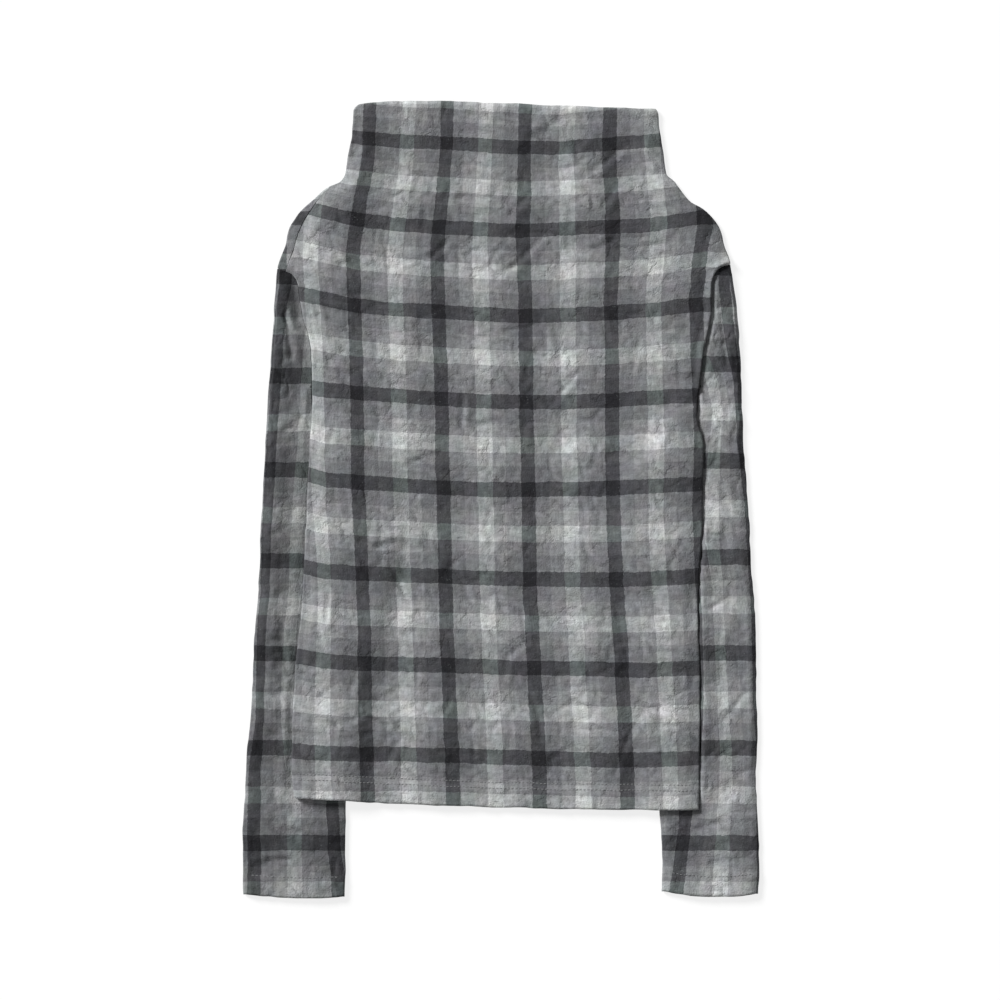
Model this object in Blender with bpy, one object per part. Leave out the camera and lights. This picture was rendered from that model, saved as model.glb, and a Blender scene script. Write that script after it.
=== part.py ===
"""Long-sleeve top with a wide funnel neck, laid flat on its back.

It is built the way it is sewn: a front and a back, each cut in one with its half
of the funnel neck, and two sleeves, each one cloth tube pressed flat.  The body
lies on top of the sleeves where it covers them.

+Z is up and +Y runs towards the neck.  The origin is the bottom centre of the
whole piece.  Left and right are as seen from above.  Tables are in millimetres,
and MM turns them into Blender's metres.
"""

import math
from collections import namedtuple

import bpy
import numpy as np

MM = 0.001

# Driving dimensions, in millimetres
WALL = 1.5           # the cloth
HEM_WALL = 2.1       # a turned hem, its layers pressed together
PLY_GAP = 0.6        # air between the two layers of a flattened tube
SEAM_GAP = 0.3       # between two sewn pieces
OVER_SLEEVE = 4.2    # how far the body is lifted where it lies on a sleeve
LIFT_MARGIN = 4.0    # the body stays at that height this far past the sleeve
LIFT_RAMP = 24.0     # and then comes down to the surface over this distance
FRONT_LOFT = 0.8     # looseness of the front over the back
LOFT_REACH = 15.0    # it starts this far in from the side folds
SLEEVE_LOFT = 0.5    # looseness of a sleeve's upper layer
BODY_MARGIN = 4.0    # it starts this far outside the body's side
HEM_MARGIN = 6.0     # or this far below its hem
SLEEVE_REACH = 12.0  # and is full after this distance
NECK_RISE = 5.2      # the neck edge bows up by this much
NECK_PEAK = 0.27     # at this share of its width
NECK_BOW_ROW = 3     # the bow has died out at this row of BODY

PANEL_COLUMNS = 20   # cells across the flat part of a panel
RIM_COLUMNS = 2      # cells round a quarter of a side fold
SLEEVE_COLUMNS = 8   # cells across one layer of a sleeve
SLEEVE_RIM = 3       # cells round a whole sleeve fold
STRIP_SHARES = (1.0, 0.55, 0.19, 0.12, 0.05)  # points from shoulder seam to fold
SHARP_ANGLE = 50.0   # degrees between faces, past which an edge is shaded sharp
CLOTH_GREY = (0.17, 0.17, 0.175, 1.0)

# Sections of the body from neck to hem.  Each runs from its left end to its right
# end and is middle_y high halfway.  seam is how far in from the left fold the
# shoulder seam lies on top.  At the armholes a section ends at the sleeve's seam.
Section = namedtuple(
    "Section", "left_x left_y right_x right_y middle_y seam wall ends steps")
BODY = [
    # neck edge, its rounded corners, and the funnel
    Section(-136.0, 382.5, 148.5, 377.5, 380.0, 0.0, WALL, "fold", 1),
    Section(-143.0, 376.0, 152.0, 371.5, 371.0, 0.0, WALL, "fold", 1),
    Section(-144.0, 364.0, 153.5, 360.5, 358.5, 0.0, WALL, "fold", 1),
    Section(-145.0, 350.5, 155.5, 347.0, 341.0, 0.0, WALL, "fold", 1),
    Section(-148.5, 333.0, 158.0, 331.5, 323.0, 0.0, WALL, "fold", 1),
    # neck base and shoulders
    Section(-151.5, 315.0, 161.0, 315.0, 305.0, 1.8, WALL, "fold", 1),
    Section(-157.5, 307.5, 169.0, 308.0, 295.5, 6.0, WALL, "fold", 1),
    Section(-169.0, 302.0, 173.5, 302.0, 287.5, 9.0, WALL, "fold", 1),
    Section(-182.5, 290.5, 183.0, 290.0, 276.0, 9.0, WALL, "fold", 1),
    Section(-192.0, 282.5, 196.0, 282.0, 266.5, 9.0, WALL, "fold", 1),
    Section(-200.0, 273.0, 205.5, 273.0, 256.0, 9.0, WALL, "fold", 1),
    Section(-205.5, 261.5, 212.5, 261.5, 244.0, 9.0, WALL, "fold", 1),
    Section(-209.5, 247.0, 217.0, 247.0, 231.5, 9.0, WALL, "fold", 1),
    Section(-217.0, 223.5, 223.0, 228.0, 216.0, 9.0, WALL, "fold", 1),
    # armholes, from shoulder point to underarm
    Section(-204.5, 219.5, 214.5, 225.5, 206.5, 0.0, WALL, "armhole", 1),
    Section(-201.0, 215.5, 208.5, 220.5, 197.5, 0.0, WALL, "armhole", 1),
    Section(-198.0, 210.5, 204.0, 213.0, 188.0, 0.0, WALL, "armhole", 1),
    Section(-195.0, 198.5, 202.5, 198.5, 177.0, 0.0, WALL, "armhole", 1),
    Section(-191.5, 179.0, 202.0, 180.0, 163.5, 0.0, WALL, "armhole", 1),
    Section(-187.0, 161.5, 199.0, 164.5, 148.0, 0.0, WALL, "armhole", 1),
    Section(-184.5, 145.0, 195.0, 149.0, 132.5, 0.0, WALL, "armhole", 1),
    Section(-183.5, 127.5, 193.5, 129.5, 116.0, 0.0, WALL, "armhole", 1),
    Section(-183.5, 110.0, 193.0, 110.0, 99.0, 0.0, WALL, "armhole", 1),
    # side seams down to the hem
    Section(-183.0, 96.5, 196.0, 96.5, 86.5, 0.0, WALL, "fold", 1),
    Section(-183.5, 82.5, 198.0, 82.0, 73.0, 0.0, WALL, "fold", 2),
    Section(-186.0, 53.0, 197.5, 50.0, 43.0, 0.0, WALL, "fold", 2),
    Section(-187.0, 22.0, 196.5, 16.0, 10.0, 0.0, WALL, "fold", 2),
    Section(-189.0, -20.0, 196.0, -25.5, -31.0, 0.0, WALL, "fold", 2),
    Section(-191.5, -66.5, 194.5, -73.0, -77.5, 0.0, WALL, "fold", 2),
    Section(-194.0, -110.0, 193.0, -117.0, -121.0, 0.0, WALL, "fold", 2),
    Section(-196.5, -154.5, 192.5, -163.5, -165.5, 0.0, WALL, "fold", 2),
    Section(-197.5, -199.5, 192.0, -208.0, -209.0, 0.0, WALL, "fold", 2),
    Section(-198.5, -243.0, 191.0, -251.5, -252.0, 0.0, WALL, "fold", 1),
    Section(-199.5, -266.5, 190.5, -277.0, -275.5, 0.0, WALL, "fold", 1),
    Section(-199.5, -270.0, 190.5, -281.0, -279.5, 0.0, HEM_WALL, "fold", 1),
    Section(-200.0, -289.5, 190.0, -301.0, -298.5, 0.0, HEM_WALL, "fold", 1),
]

# Where the sleeves' outer folds lie beside the armholes.
SleeveTop = namedtuple("SleeveTop", "y left_x right_x")
SLEEVE_TOPS = [
    SleeveTop(228.0, -217.0, 223.0),
    SleeveTop(209.0, -218.3, 226.0),
    SleeveTop(194.0, -219.5, 228.0),
    SleeveTop(165.0, -221.2, 231.0),
    SleeveTop(135.0, -223.2, 232.0),
    SleeveTop(106.0, -226.0, 233.0),
]

# Sections of a sleeve from underarm to cuff, from its outer fold to its inner one.
# sag is how far its middle hangs towards the cuff.  The first two end beside the
# body's side fold, and the others pass under the body.
SleeveSection = namedtuple("SleeveSection", "outer_x outer_y inner_x inner_y sag wall")
LEFT_SLEEVE = [
    SleeveSection(-226.6, 96.5, -183.3, 96.5, 0.0, WALL),
    SleeveSection(-227.3, 83.0, -183.9, 83.5, 0.0, WALL),
    SleeveSection(-228.0, 69.0, -171.0, 72.5, 0.0, WALL),
    SleeveSection(-228.8, 55.0, -154.0, 59.5, 0.0, WALL),
    SleeveSection(-229.5, 40.0, -138.0, 44.5, 0.0, WALL),
    SleeveSection(-230.5, 22.0, -125.0, 26.0, 0.0, WALL),
    SleeveSection(-231.5, -3.0, -115.5, 2.0, 0.0, WALL),
    SleeveSection(-233.0, -29.5, -113.0, -24.0, 0.0, WALL),
    SleeveSection(-234.0, -58.5, -116.5, -52.0, 0.0, WALL),
    SleeveSection(-235.5, -88.0, -123.0, -82.0, 0.0, WALL),
    SleeveSection(-238.0, -117.0, -130.0, -112.0, 0.0, WALL),
    SleeveSection(-240.0, -148.0, -136.5, -144.0, 0.0, WALL),
    SleeveSection(-241.0, -180.0, -142.0, -177.0, 0.0, WALL),
    SleeveSection(-243.0, -212.0, -146.0, -210.0, 0.0, WALL),
    SleeveSection(-246.5, -243.0, -148.5, -242.0, 0.0, WALL),
    SleeveSection(-248.0, -272.0, -150.0, -272.0, 0.0, WALL),
    SleeveSection(-249.5, -299.0, -150.5, -300.0, 0.0, WALL),
    SleeveSection(-250.5, -328.5, -151.0, -330.0, 0.5, WALL),
    SleeveSection(-250.5, -361.5, -151.0, -363.5, 1.0, WALL),
    SleeveSection(-250.5, -365.0, -151.0, -367.0, 1.0, HEM_WALL),
    SleeveSection(-250.0, -383.1, -151.5, -385.6, 2.0, HEM_WALL),
]
RIGHT_SLEEVE = [
    SleeveSection(233.5, 96.5, 196.4, 96.5, 0.0, WALL),
    SleeveSection(234.2, 83.0, 198.4, 83.0, 0.0, WALL),
    SleeveSection(234.8, 69.0, 186.0, 72.0, 0.0, WALL),
    SleeveSection(235.3, 55.0, 169.5, 59.5, 0.0, WALL),
    SleeveSection(236.2, 40.0, 153.0, 44.5, 0.0, WALL),
    SleeveSection(237.8, 22.0, 140.0, 26.0, 0.0, WALL),
    SleeveSection(239.5, -3.0, 131.0, 2.0, 0.0, WALL),
    SleeveSection(241.0, -29.5, 128.5, -24.0, 0.0, WALL),
    SleeveSection(242.0, -58.5, 131.5, -52.0, 0.0, WALL),
    SleeveSection(245.0, -88.0, 137.0, -82.0, 0.0, WALL),
    SleeveSection(246.5, -117.0, 142.0, -112.0, 0.0, WALL),
    SleeveSection(247.5, -148.0, 145.5, -144.0, 0.0, WALL),
    SleeveSection(247.5, -180.0, 148.5, -177.0, 0.0, WALL),
    SleeveSection(248.5, -212.0, 151.0, -210.0, 0.0, WALL),
    SleeveSection(248.5, -243.0, 152.5, -242.0, 0.0, WALL),
    SleeveSection(247.5, -272.0, 153.5, -272.0, 0.0, WALL),
    SleeveSection(248.5, -299.0, 153.5, -300.0, 0.0, WALL),
    SleeveSection(250.5, -328.5, 156.0, -329.0, 0.5, WALL),
    SleeveSection(250.5, -359.5, 156.5, -357.5, 2.0, WALL),
    SleeveSection(250.5, -363.5, 156.5, -361.5, 2.0, HEM_WALL),
    SleeveSection(250.0, -382.0, 156.0, -380.0, 4.5, HEM_WALL),
]

# Soft folds.  Each runs along a line and is half_width wide on either side.
Fold = namedtuple("Fold", "x0 y0 x1 y1 half_width height")
FRONT_FOLDS = [
    Fold(-131.0, 353.5, -156.0, 256.5, 15.0, 1.8),   # neck to left shoulder
    Fold(-103.0, 368.0, -125.0, 305.0, 12.0, 1.0),
    Fold(75.0, 310.0, 144.5, 343.0, 9.0, 1.6),       # slanting crease, neck base
    Fold(149.5, 324.5, 186.0, 251.5, 14.0, 1.8),     # neck to right shoulder
    Fold(-47.5, 294.5, -5.0, 293.5, 8.0, -0.6),      # short dip under the neck
    Fold(-181.5, 197.5, -172.5, 166.5, 8.0, 1.5),    # left armpit
    Fold(201.0, 203.0, 193.0, 150.0, 8.0, 1.3),      # beside the right armhole
    Fold(-78.5, 251.5, -96.0, 116.0, 18.0, 1.2),     # chest
    Fold(96.0, 242.0, 135.0, 116.0, 18.0, 1.2),
    Fold(-151.5, 96.5, -137.0, -39.5, 15.0, 1.3),    # waist
    Fold(-30.0, 77.0, -1.0, -97.5, 20.0, 1.1),
    Fold(154.0, 67.5, 135.0, -88.0, 16.0, 1.3),
    Fold(-166.0, -97.5, -151.5, -262.5, 15.0, 1.2),  # towards the hem
    Fold(-59.0, -117.0, -69.0, -282.0, 20.0, 1.2),
    Fold(96.0, -107.0, 110.5, -282.0, 18.0, 1.3),
]
LEFT_SLEEVE_FOLDS = [
    Fold(-215.0, 170.0, -217.5, -97.0, 11.0, 0.9),
    Fold(-226.0, -120.0, -219.0, -190.0, 10.0, 0.8),
    Fold(-226.0, -330.0, -180.0, -350.0, 12.0, 0.7),
]
RIGHT_SLEEVE_FOLDS = [
    Fold(219.0, 170.0, 224.0, -60.0, 11.0, 0.9),
    Fold(233.0, -90.0, 222.0, -200.0, 10.0, 0.8),
    Fold(228.0, -325.0, 186.0, -345.0, 12.0, 0.7),
]


def smooth(t):
    """0 up to t = 0, 1 from t = 1, with an even S between them."""
    t = np.clip(t, 0.0, 1.0)
    return t * t * (3.0 - 2.0 * t)


def distance_to_path(x, y, path):
    """Plan distance from points to the nearest stretch of a path."""
    x, y = np.asarray(x, float), np.asarray(y, float)
    nearest = np.full(x.shape, np.inf)
    for (ax, ay), (bx, by) in zip(path[:-1], path[1:]):
        run_x, run_y = bx - ax, by - ay
        along = ((x - ax) * run_x + (y - ay) * run_y) / (run_x ** 2 + run_y ** 2)
        along = np.clip(along, 0.0, 1.0)
        nearest = np.minimum(nearest, np.hypot(x - ax - along * run_x, y - ay - along * run_y))
    return nearest


def folds_at(x, y, folds):
    """Height of the soft folds: each a bell across its own line."""
    height = np.zeros(np.shape(x))
    for fold in folds:
        reach = distance_to_path(x, y, [(fold.x0, fold.y0), (fold.x1, fold.y1)])
        height = height + fold.height * np.exp(-(reach / fold.half_width) ** 2)
    return height


def lift_at(x, y):
    """How high the body lies: OVER_SLEEVE above a sleeve, 0 beyond its ramp."""
    lift = np.zeros(np.shape(x))
    for table, side in ((LEFT_SLEEVE, -1.0), (RIGHT_SLEEVE, 1.0)):
        edge = [(row.inner_x, row.inner_y) for row in table[1:]]
        edge_x, edge_y = np.array(edge[::-1]).T
        covered = (side * x >= side * np.interp(y, edge_y, edge_x)) & (y <= edge_y[-1])
        away = np.where(covered, 0.0, distance_to_path(x, y, edge))
        rise = smooth(1.0 - (away - LIFT_MARGIN) / LIFT_RAMP)
        lift = np.maximum(lift, OVER_SLEEVE * rise)
    return lift


def body_sections():
    """The body's sections, with the even steps between the table's rows."""
    sections = []
    for here, after in zip(BODY[:-1], BODY[1:]):
        for step in range(here.steps):
            share = step / here.steps
            *here_numbers, ends, _ = here
            numbers = [a + (b - a) * share for a, b in zip(here_numbers, after)]
            sections.append(Section(*numbers, ends, 1))
    return sections + [BODY[-1]]


def section_point(section, inward):
    """Plan point of a section at a distance in from its left end."""
    u = inward / (section.right_x - section.left_x)
    x = section.left_x + inward
    y = (section.left_y * (1.0 - u) * (1.0 - 2.0 * u)
         + section.middle_y * 4.0 * u * (1.0 - u)
         + section.right_y * u * (2.0 * u - 1.0))
    bow_end = BODY[NECK_BOW_ROW].left_y
    neck_share = smooth((section.left_y - bow_end) / (BODY[0].left_y - bow_end))
    rise = NECK_RISE * (u / NECK_PEAK) * np.exp(1.0 - u / NECK_PEAK)
    return x, y + neck_share * rise


def fold_profile(run, wall, radius):
    """Distance in from the fold and height over its middle, for a run of cloth
    measured along the cloth from the outermost point, up positive.

    The fold is half round: its middle surface has the radius of half the
    distance between the two layers, and past it the cloth is flat.
    """
    middle = (PLY_GAP + wall) / 2.0
    outermost = middle + wall / 2.0
    quarter = middle * math.pi / 2.0
    angle = np.clip(run, -quarter, quarter) / middle
    inward = outermost - radius * np.cos(angle) + np.maximum(np.abs(run) - quarter, 0.0)
    return inward, radius * np.sin(angle)


def panel_row(section, side, surface):
    """Points of one section of the front (side +1) or back (side -1).

    surface is +1 on the outside of the cloth and -1 on its inside.
    """
    wall = section.wall
    middle = (PLY_GAP + wall) / 2.0
    radius = middle + surface * wall / 2.0
    quarter = middle * math.pi / 2.0
    width = section.right_x - section.left_x
    steps = np.linspace(0.0, 1.0, RIM_COLUMNS + 1)
    if section.ends == "fold":
        left_start = (section.seam if side > 0 else 0.0) + SEAM_GAP / 2.0
        left_run = left_start + steps * (quarter - SEAM_GAP / 2.0)
        right_run = SEAM_GAP / 2.0 + steps * (quarter - SEAM_GAP / 2.0)
        left_in, left_z = fold_profile(left_run, wall, radius)
        right_in, right_z = fold_profile(right_run, wall, radius)
    else:
        left_in = right_in = steps * quarter
        left_z = right_z = np.full(steps.size, radius)
    flat = np.linspace(left_in[-1], width - right_in[-1], PANEL_COLUMNS + 1)[1:-1]
    inward = np.concatenate([left_in, flat, width - right_in[::-1]])
    height = np.concatenate([left_z, np.full(flat.size, radius), right_z[::-1]])
    x, y = section_point(section, inward)
    z = lift_at(x, y) + wall + PLY_GAP / 2.0 + side * height
    if side > 0:
        edge = np.minimum(inward - left_in[0], width - right_in[0] - inward)
        z += smooth(edge / LOFT_REACH) * (FRONT_LOFT + folds_at(x, y, FRONT_FOLDS))
    return np.stack([x, y, z], axis=-1)


def shoulder_strip_row(section, surface):
    """The back's cloth that comes forward over the left shoulder, to its seam."""
    wall = section.wall
    radius = (PLY_GAP + wall) / 2.0 + surface * wall / 2.0
    run = np.array(STRIP_SHARES) * section.seam - SEAM_GAP / 2.0
    inward, height = fold_profile(run, wall, radius)
    x, y = section_point(section, inward)
    return np.stack([x, y, wall + PLY_GAP / 2.0 + height], axis=-1)


def front():
    """Front body panel with its half of the funnel neck."""
    rows = body_sections()
    outside, inside = (np.array([panel_row(row, 1.0, surface) for row in rows])
                       for surface in (1.0, -1.0))
    cells = np.ones((len(rows) - 1, outside.shape[1] - 1), bool)
    return cloth_solid("front", outside, inside, cells)


def back():
    """Back body panel with its half of the neck and the strip over the shoulder."""
    rows = body_sections()
    outside, inside = (
        np.array([np.concatenate([shoulder_strip_row(row, surface), panel_row(row, -1.0, surface)])
                  for row in rows])
        for surface in (1.0, -1.0))
    cells = np.ones((len(rows) - 1, outside.shape[1] - 1), bool)
    strip_columns = outside.shape[1] - panel_row(rows[0], -1.0, 1.0).shape[0]
    on_shoulder = np.array([row.seam > 0.0 and row.ends == "fold" for row in rows])
    has_strip = on_shoulder[:-1] & on_shoulder[1:]
    cells[~has_strip, :strip_columns] = False
    return cloth_solid("back", outside, inside, cells)


def armhole_path(side, layer):
    """Armhole seam in plan on the body's edge, from shoulder point to underarm.

    On top of the left shoulder the seam first runs along the strip of the back.
    """
    first = next(i for i, row in enumerate(BODY) if row.ends == "armhole")
    last = max(i for i, row in enumerate(BODY) if row.ends == "armhole")
    shoulder = BODY[first - 1]
    rows = BODY[first:last + 1]
    if side > 0:
        path = [(shoulder.right_x, shoulder.right_y)]
        path += [(row.right_x, row.right_y) for row in rows]
        return np.array(path)
    start = np.array([shoulder.left_x, shoulder.left_y])
    corner = np.array([rows[0].left_x, rows[0].left_y])
    seam = np.array(section_point(shoulder, shoulder.seam))
    if layer < 0:
        share = (seam[0] - start[0]) / (corner[0] - start[0])
        seam = start + share * (corner - start)
    return np.array([start, seam] + [(row.left_x, row.left_y) for row in rows])


def turned(directions):
    """Plan directions turned a quarter to the left."""
    return np.stack([-directions[..., 1], directions[..., 0]], axis=-1)


def unit(vectors):
    """Vectors brought to length 1."""
    return vectors / np.linalg.norm(vectors, axis=-1, keepdims=True)


def sleeve_ends(table, side, layer):
    """Outer and inner ends of a sleeve's sections in plan, from the shoulder point."""
    path = armhole_path(side, layer)
    outward = turned(unit(np.gradient(path, axis=0))) * side
    outward[0] = (0.0, -1.0)
    outward[-1] = (side, 0.0)
    path = path + SEAM_GAP * outward
    tops = np.array(SLEEVE_TOPS[::-1])
    top_x = np.interp(path[2:, 1], tops[:, 0], tops[:, 1 if side < 0 else 2])
    outer = np.vstack([path[0], np.column_stack([top_x, path[2:, 1]]),
                       [row[:2] for row in table]])
    inner = np.vstack([path[1:], [row[2:4] for row in table]])
    return outer, inner


def body_edge_x(y, side):
    """Where the body's side lies over the sleeve."""
    if side < 0:
        edge = [(row.left_y, row.left_x) for row in BODY]
    else:
        edge = [(row.right_y, row.right_x) for row in BODY]
    edge_y, edge_x = np.array(edge[::-1]).T
    return np.interp(y, edge_y, edge_x)


def sleeve_relief(x, y, folds, side):
    """Looseness of a sleeve's upper layer, none where the body lies on it."""
    clear_of_side = side * (x - body_edge_x(y, side)) - BODY_MARGIN
    below_hem = (BODY[-1].right_y - HEM_MARGIN) - y
    showing = smooth(np.maximum(clear_of_side, below_hem) / SLEEVE_REACH)
    return showing * (SLEEVE_LOFT + folds_at(x, y, folds))


def sleeve_ring(ends, folded, wall, sag, surface, folds, side):
    """One section: outer fold, top layer, inner fold or armhole edges, bottom layer.

    ends holds, for the top and then the bottom layer, the outer and inner end and
    the directions in from them.
    """
    middle = (PLY_GAP + wall) / 2.0
    radius = middle + surface * wall / 2.0
    quarter = middle * math.pi / 2.0
    centre = wall + PLY_GAP / 2.0
    run = np.linspace(-quarter, quarter, SLEEVE_RIM + 1)
    inward, height = fold_profile(run, wall, radius)
    outer, _, outer_in, _ = ends[1]
    outer_arc = np.column_stack([outer + inward[:, None] * outer_in, centre + height])
    layers = []
    for layer, (start, end, start_in, end_in) in zip((1.0, -1.0), ends):
        first = start + inward[0] * start_in
        last = end + (inward[0] * end_in if folded else 0.0 * end_in)
        share = np.linspace(0.0, 1.0, SLEEVE_COLUMNS + 1)[1:, None]
        plan = first + share * (last - first)
        plan[:, 1] -= sag * 4.0 * share[:, 0] * (1.0 - share[:, 0])
        z = np.full(len(plan), centre + layer * radius)
        if layer > 0:
            z[:-1] += sleeve_relief(plan[:-1, 0], plan[:-1, 1], folds, side)
        layers.append(np.column_stack([plan, z]))
    top, bottom = layers
    _, inner, _, inner_in = ends[0]
    inner_arc = np.column_stack([inner + inward[:, None] * inner_in, centre + height])
    return np.concatenate([outer_arc, top, inner_arc[-2:0:-1], bottom[::-1]])


def sleeve(name, table, folds, side):
    """One sleeve: a flattened tube with rounded folds, open at armhole and cuff."""
    ends = []
    for layer in (1.0, -1.0):
        outer, inner = sleeve_ends(table, side, layer)
        outer_in = unit(turned(np.gradient(outer, axis=0))) * -side
        inner_in = unit(turned(np.gradient(inner, axis=0))) * side
        outer_in[0] = unit(inner[0] - outer[0])
        ends.append((outer, inner, outer_in, inner_in))
    armhole_rows = len(ends[0][0]) - len(table)
    walls = [WALL] * armhole_rows + [row.wall for row in table]
    sags = [0.0] * armhole_rows + [row.sag for row in table]
    underarm = armhole_rows - 1
    ends[0][3][underarm] = (side, 0.0)
    surfaces = []
    for surface in (1.0, -1.0):
        rings = []
        for i, (wall, sag) in enumerate(zip(walls, sags)):
            section_ends = [[plan[i] for plan in layer_ends] for layer_ends in ends]
            rings.append(sleeve_ring(section_ends, i >= underarm, wall, sag, surface, folds, side))
        surfaces.append(np.array(rings))
    cells = np.ones((len(walls) - 1, surfaces[0].shape[1]), bool)
    inner_fold = SLEEVE_RIM + SLEEVE_COLUMNS
    cells[:underarm, inner_fold:inner_fold + SLEEVE_RIM] = False
    return cloth_solid(name, *surfaces, cells)


def cloth_solid(name, outside, inside, cells):
    """A closed cloth wall between two grids of points, on the cells that exist.

    When there are as many cells across as points across, the grid closes on
    itself as a tube.
    """
    rows, columns = outside.shape[:2]
    across = np.roll(np.arange(columns), -1)[:cells.shape[1]]
    number = np.arange(rows * columns).reshape(rows, columns)
    inner_number = number + rows * columns
    faces = []

    def side_exists(row, column):
        if cells.shape[1] == columns:
            column %= columns
        return 0 <= row < cells.shape[0] and 0 <= column < cells.shape[1] and cells[row, column]

    for row, column in zip(*np.nonzero(cells)):
        after = across[column]
        corners = (row, column), (row + 1, column), (row + 1, after), (row, after)
        a, b, c, d = (int(number[corner]) for corner in corners)
        e, f, g, h = (int(inner_number[corner]) for corner in corners)
        faces += [(a, b, c), (a, c, d), (e, g, f), (e, h, g)]
        if not side_exists(row - 1, column):
            faces += [(a, d, h), (a, h, e)]
        if not side_exists(row + 1, column):
            faces += [(c, b, f), (c, f, g)]
        if not side_exists(row, column - 1):
            faces += [(b, a, e), (b, e, f)]
        if not side_exists(row, column + 1):
            faces += [(d, c, g), (d, g, h)]
    points = np.concatenate([outside.reshape(-1, 3), inside.reshape(-1, 3)]) * MM
    used = np.unique(np.array(faces))
    renumber = np.full(len(points), -1)
    renumber[used] = np.arange(used.size)
    faces = renumber[np.array(faces)]
    if enclosed_volume(points[used], faces) < 0.0:
        faces = faces[:, ::-1]
    mesh = bpy.data.meshes.new(name)
    mesh.from_pydata(points[used].tolist(), [], faces.tolist())
    mesh.shade_smooth()
    mesh.set_sharp_from_angle(angle=math.radians(SHARP_ANGLE))
    solid = bpy.data.objects.new(name, mesh)
    bpy.context.scene.collection.objects.link(solid)
    return solid


def enclosed_volume(points, faces):
    """Signed volume within a mesh of triangles."""
    a, b, c = (points[faces[:, corner]] for corner in range(3))
    return np.einsum("ij,ij->i", a, np.cross(b, c)).sum() / 6.0


def cloth_material():
    """Plain grey wool."""
    material = bpy.data.materials.new("grey_wool")
    material.use_nodes = True
    shader = material.node_tree.nodes["Principled BSDF"]
    shader.inputs["Base Color"].default_value = CLOTH_GREY
    shader.inputs["Roughness"].default_value = 0.95
    shader.inputs["Metallic"].default_value = 0.0
    return material


def clear_scene():
    """Empty the scene of what it starts with."""
    for item in list(bpy.data.objects):
        bpy.data.objects.remove(item, do_unlink=True)


clear_scene()
wool = cloth_material()
for piece in (
    back(),
    front(),
    sleeve("sleeve_left", LEFT_SLEEVE, LEFT_SLEEVE_FOLDS, -1.0),
    sleeve("sleeve_right", RIGHT_SLEEVE, RIGHT_SLEEVE_FOLDS, 1.0),
):
    piece.data.materials.append(wool)
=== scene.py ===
"""Long-sleeve top with a wide funnel neck, laid flat: cloth, check, creases and sewing.

Crinkled, brushed wool with a grey check.  Lengths in the tables are millimetres, and
MM turns them into Blender's metres.  Left and right are as seen from above, +Y runs
towards the neck and +Z out of the front.
"""

import math
from collections import namedtuple

import bpy
import numpy as np
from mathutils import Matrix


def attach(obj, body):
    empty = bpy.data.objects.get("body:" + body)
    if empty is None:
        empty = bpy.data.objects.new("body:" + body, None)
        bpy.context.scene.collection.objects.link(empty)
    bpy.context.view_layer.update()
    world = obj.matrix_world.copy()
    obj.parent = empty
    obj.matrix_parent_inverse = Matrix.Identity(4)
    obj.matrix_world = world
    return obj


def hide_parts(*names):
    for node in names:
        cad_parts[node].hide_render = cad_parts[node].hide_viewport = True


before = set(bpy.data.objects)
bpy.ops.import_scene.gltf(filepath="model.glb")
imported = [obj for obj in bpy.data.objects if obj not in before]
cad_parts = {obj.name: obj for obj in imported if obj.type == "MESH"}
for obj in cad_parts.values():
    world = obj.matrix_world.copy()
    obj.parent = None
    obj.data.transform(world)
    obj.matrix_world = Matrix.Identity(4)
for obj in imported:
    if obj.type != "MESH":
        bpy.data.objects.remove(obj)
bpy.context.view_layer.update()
MM = 0.001


# ---------------------------------------------------------------- Camera
# A long lens straight above the garment, as a flat lay is photographed.  The frame
# takes in 970 mm each way at the height of the cloth.

VIEW_WIDTH = 970.0
VIEW_CENTRE = (-1.0, -0.5, 4.0)
LENS = 200.0
SENSOR = 36.0
SIGHT = 20.0         # metres

camera_data = bpy.data.cameras.new("camera")
camera_data.lens = LENS
camera_data.sensor_width = SENSOR
camera_data.clip_end = SIGHT
camera = bpy.data.objects.new("camera", camera_data)
camera.location = (VIEW_CENTRE[0] * MM, VIEW_CENTRE[1] * MM,
                   (VIEW_CENTRE[2] + VIEW_WIDTH * LENS / SENSOR) * MM)
bpy.context.scene.collection.objects.link(camera)
bpy.context.scene.camera = camera
bpy.context.scene.view_settings.view_transform = "Standard"


# ---------------------------------------------------------------- Back
# Cut in one with its half of the funnel neck.  It lies on the surface, its sides roll
# up to the side seams, and over the left shoulder a strip of it comes round to the
# front.  Where the body lies on a sleeve it is lifted.

WALL = 1.5           # crinkled cloth
HEM_WALL = 2.1       # turned hem
PLY_GAP = 0.6        # air between the layers
SEAM_GAP = 0.12      # sewn edges meet; this keeps them from touching
OVER_SLEEVE = 4.2    # lift over a sleeve
LIFT_MARGIN = 4.0    # it keeps its height this far past the sleeve
LIFT_RAMP = 24.0     # and comes down over this much
NECK_RISE = 5.2      # bow of the neck edge
NECK_PEAK = 0.27     # where it is highest, as a share of the width
NECK_BOW_ROW = 3     # the row that the bow fades out at
PANEL_COLUMNS = 164  # cells across the flat of a panel
RIM_CELLS = 3        # cells round a quarter of a fold
ROW_STEP = 2.5       # length of a cell

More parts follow.
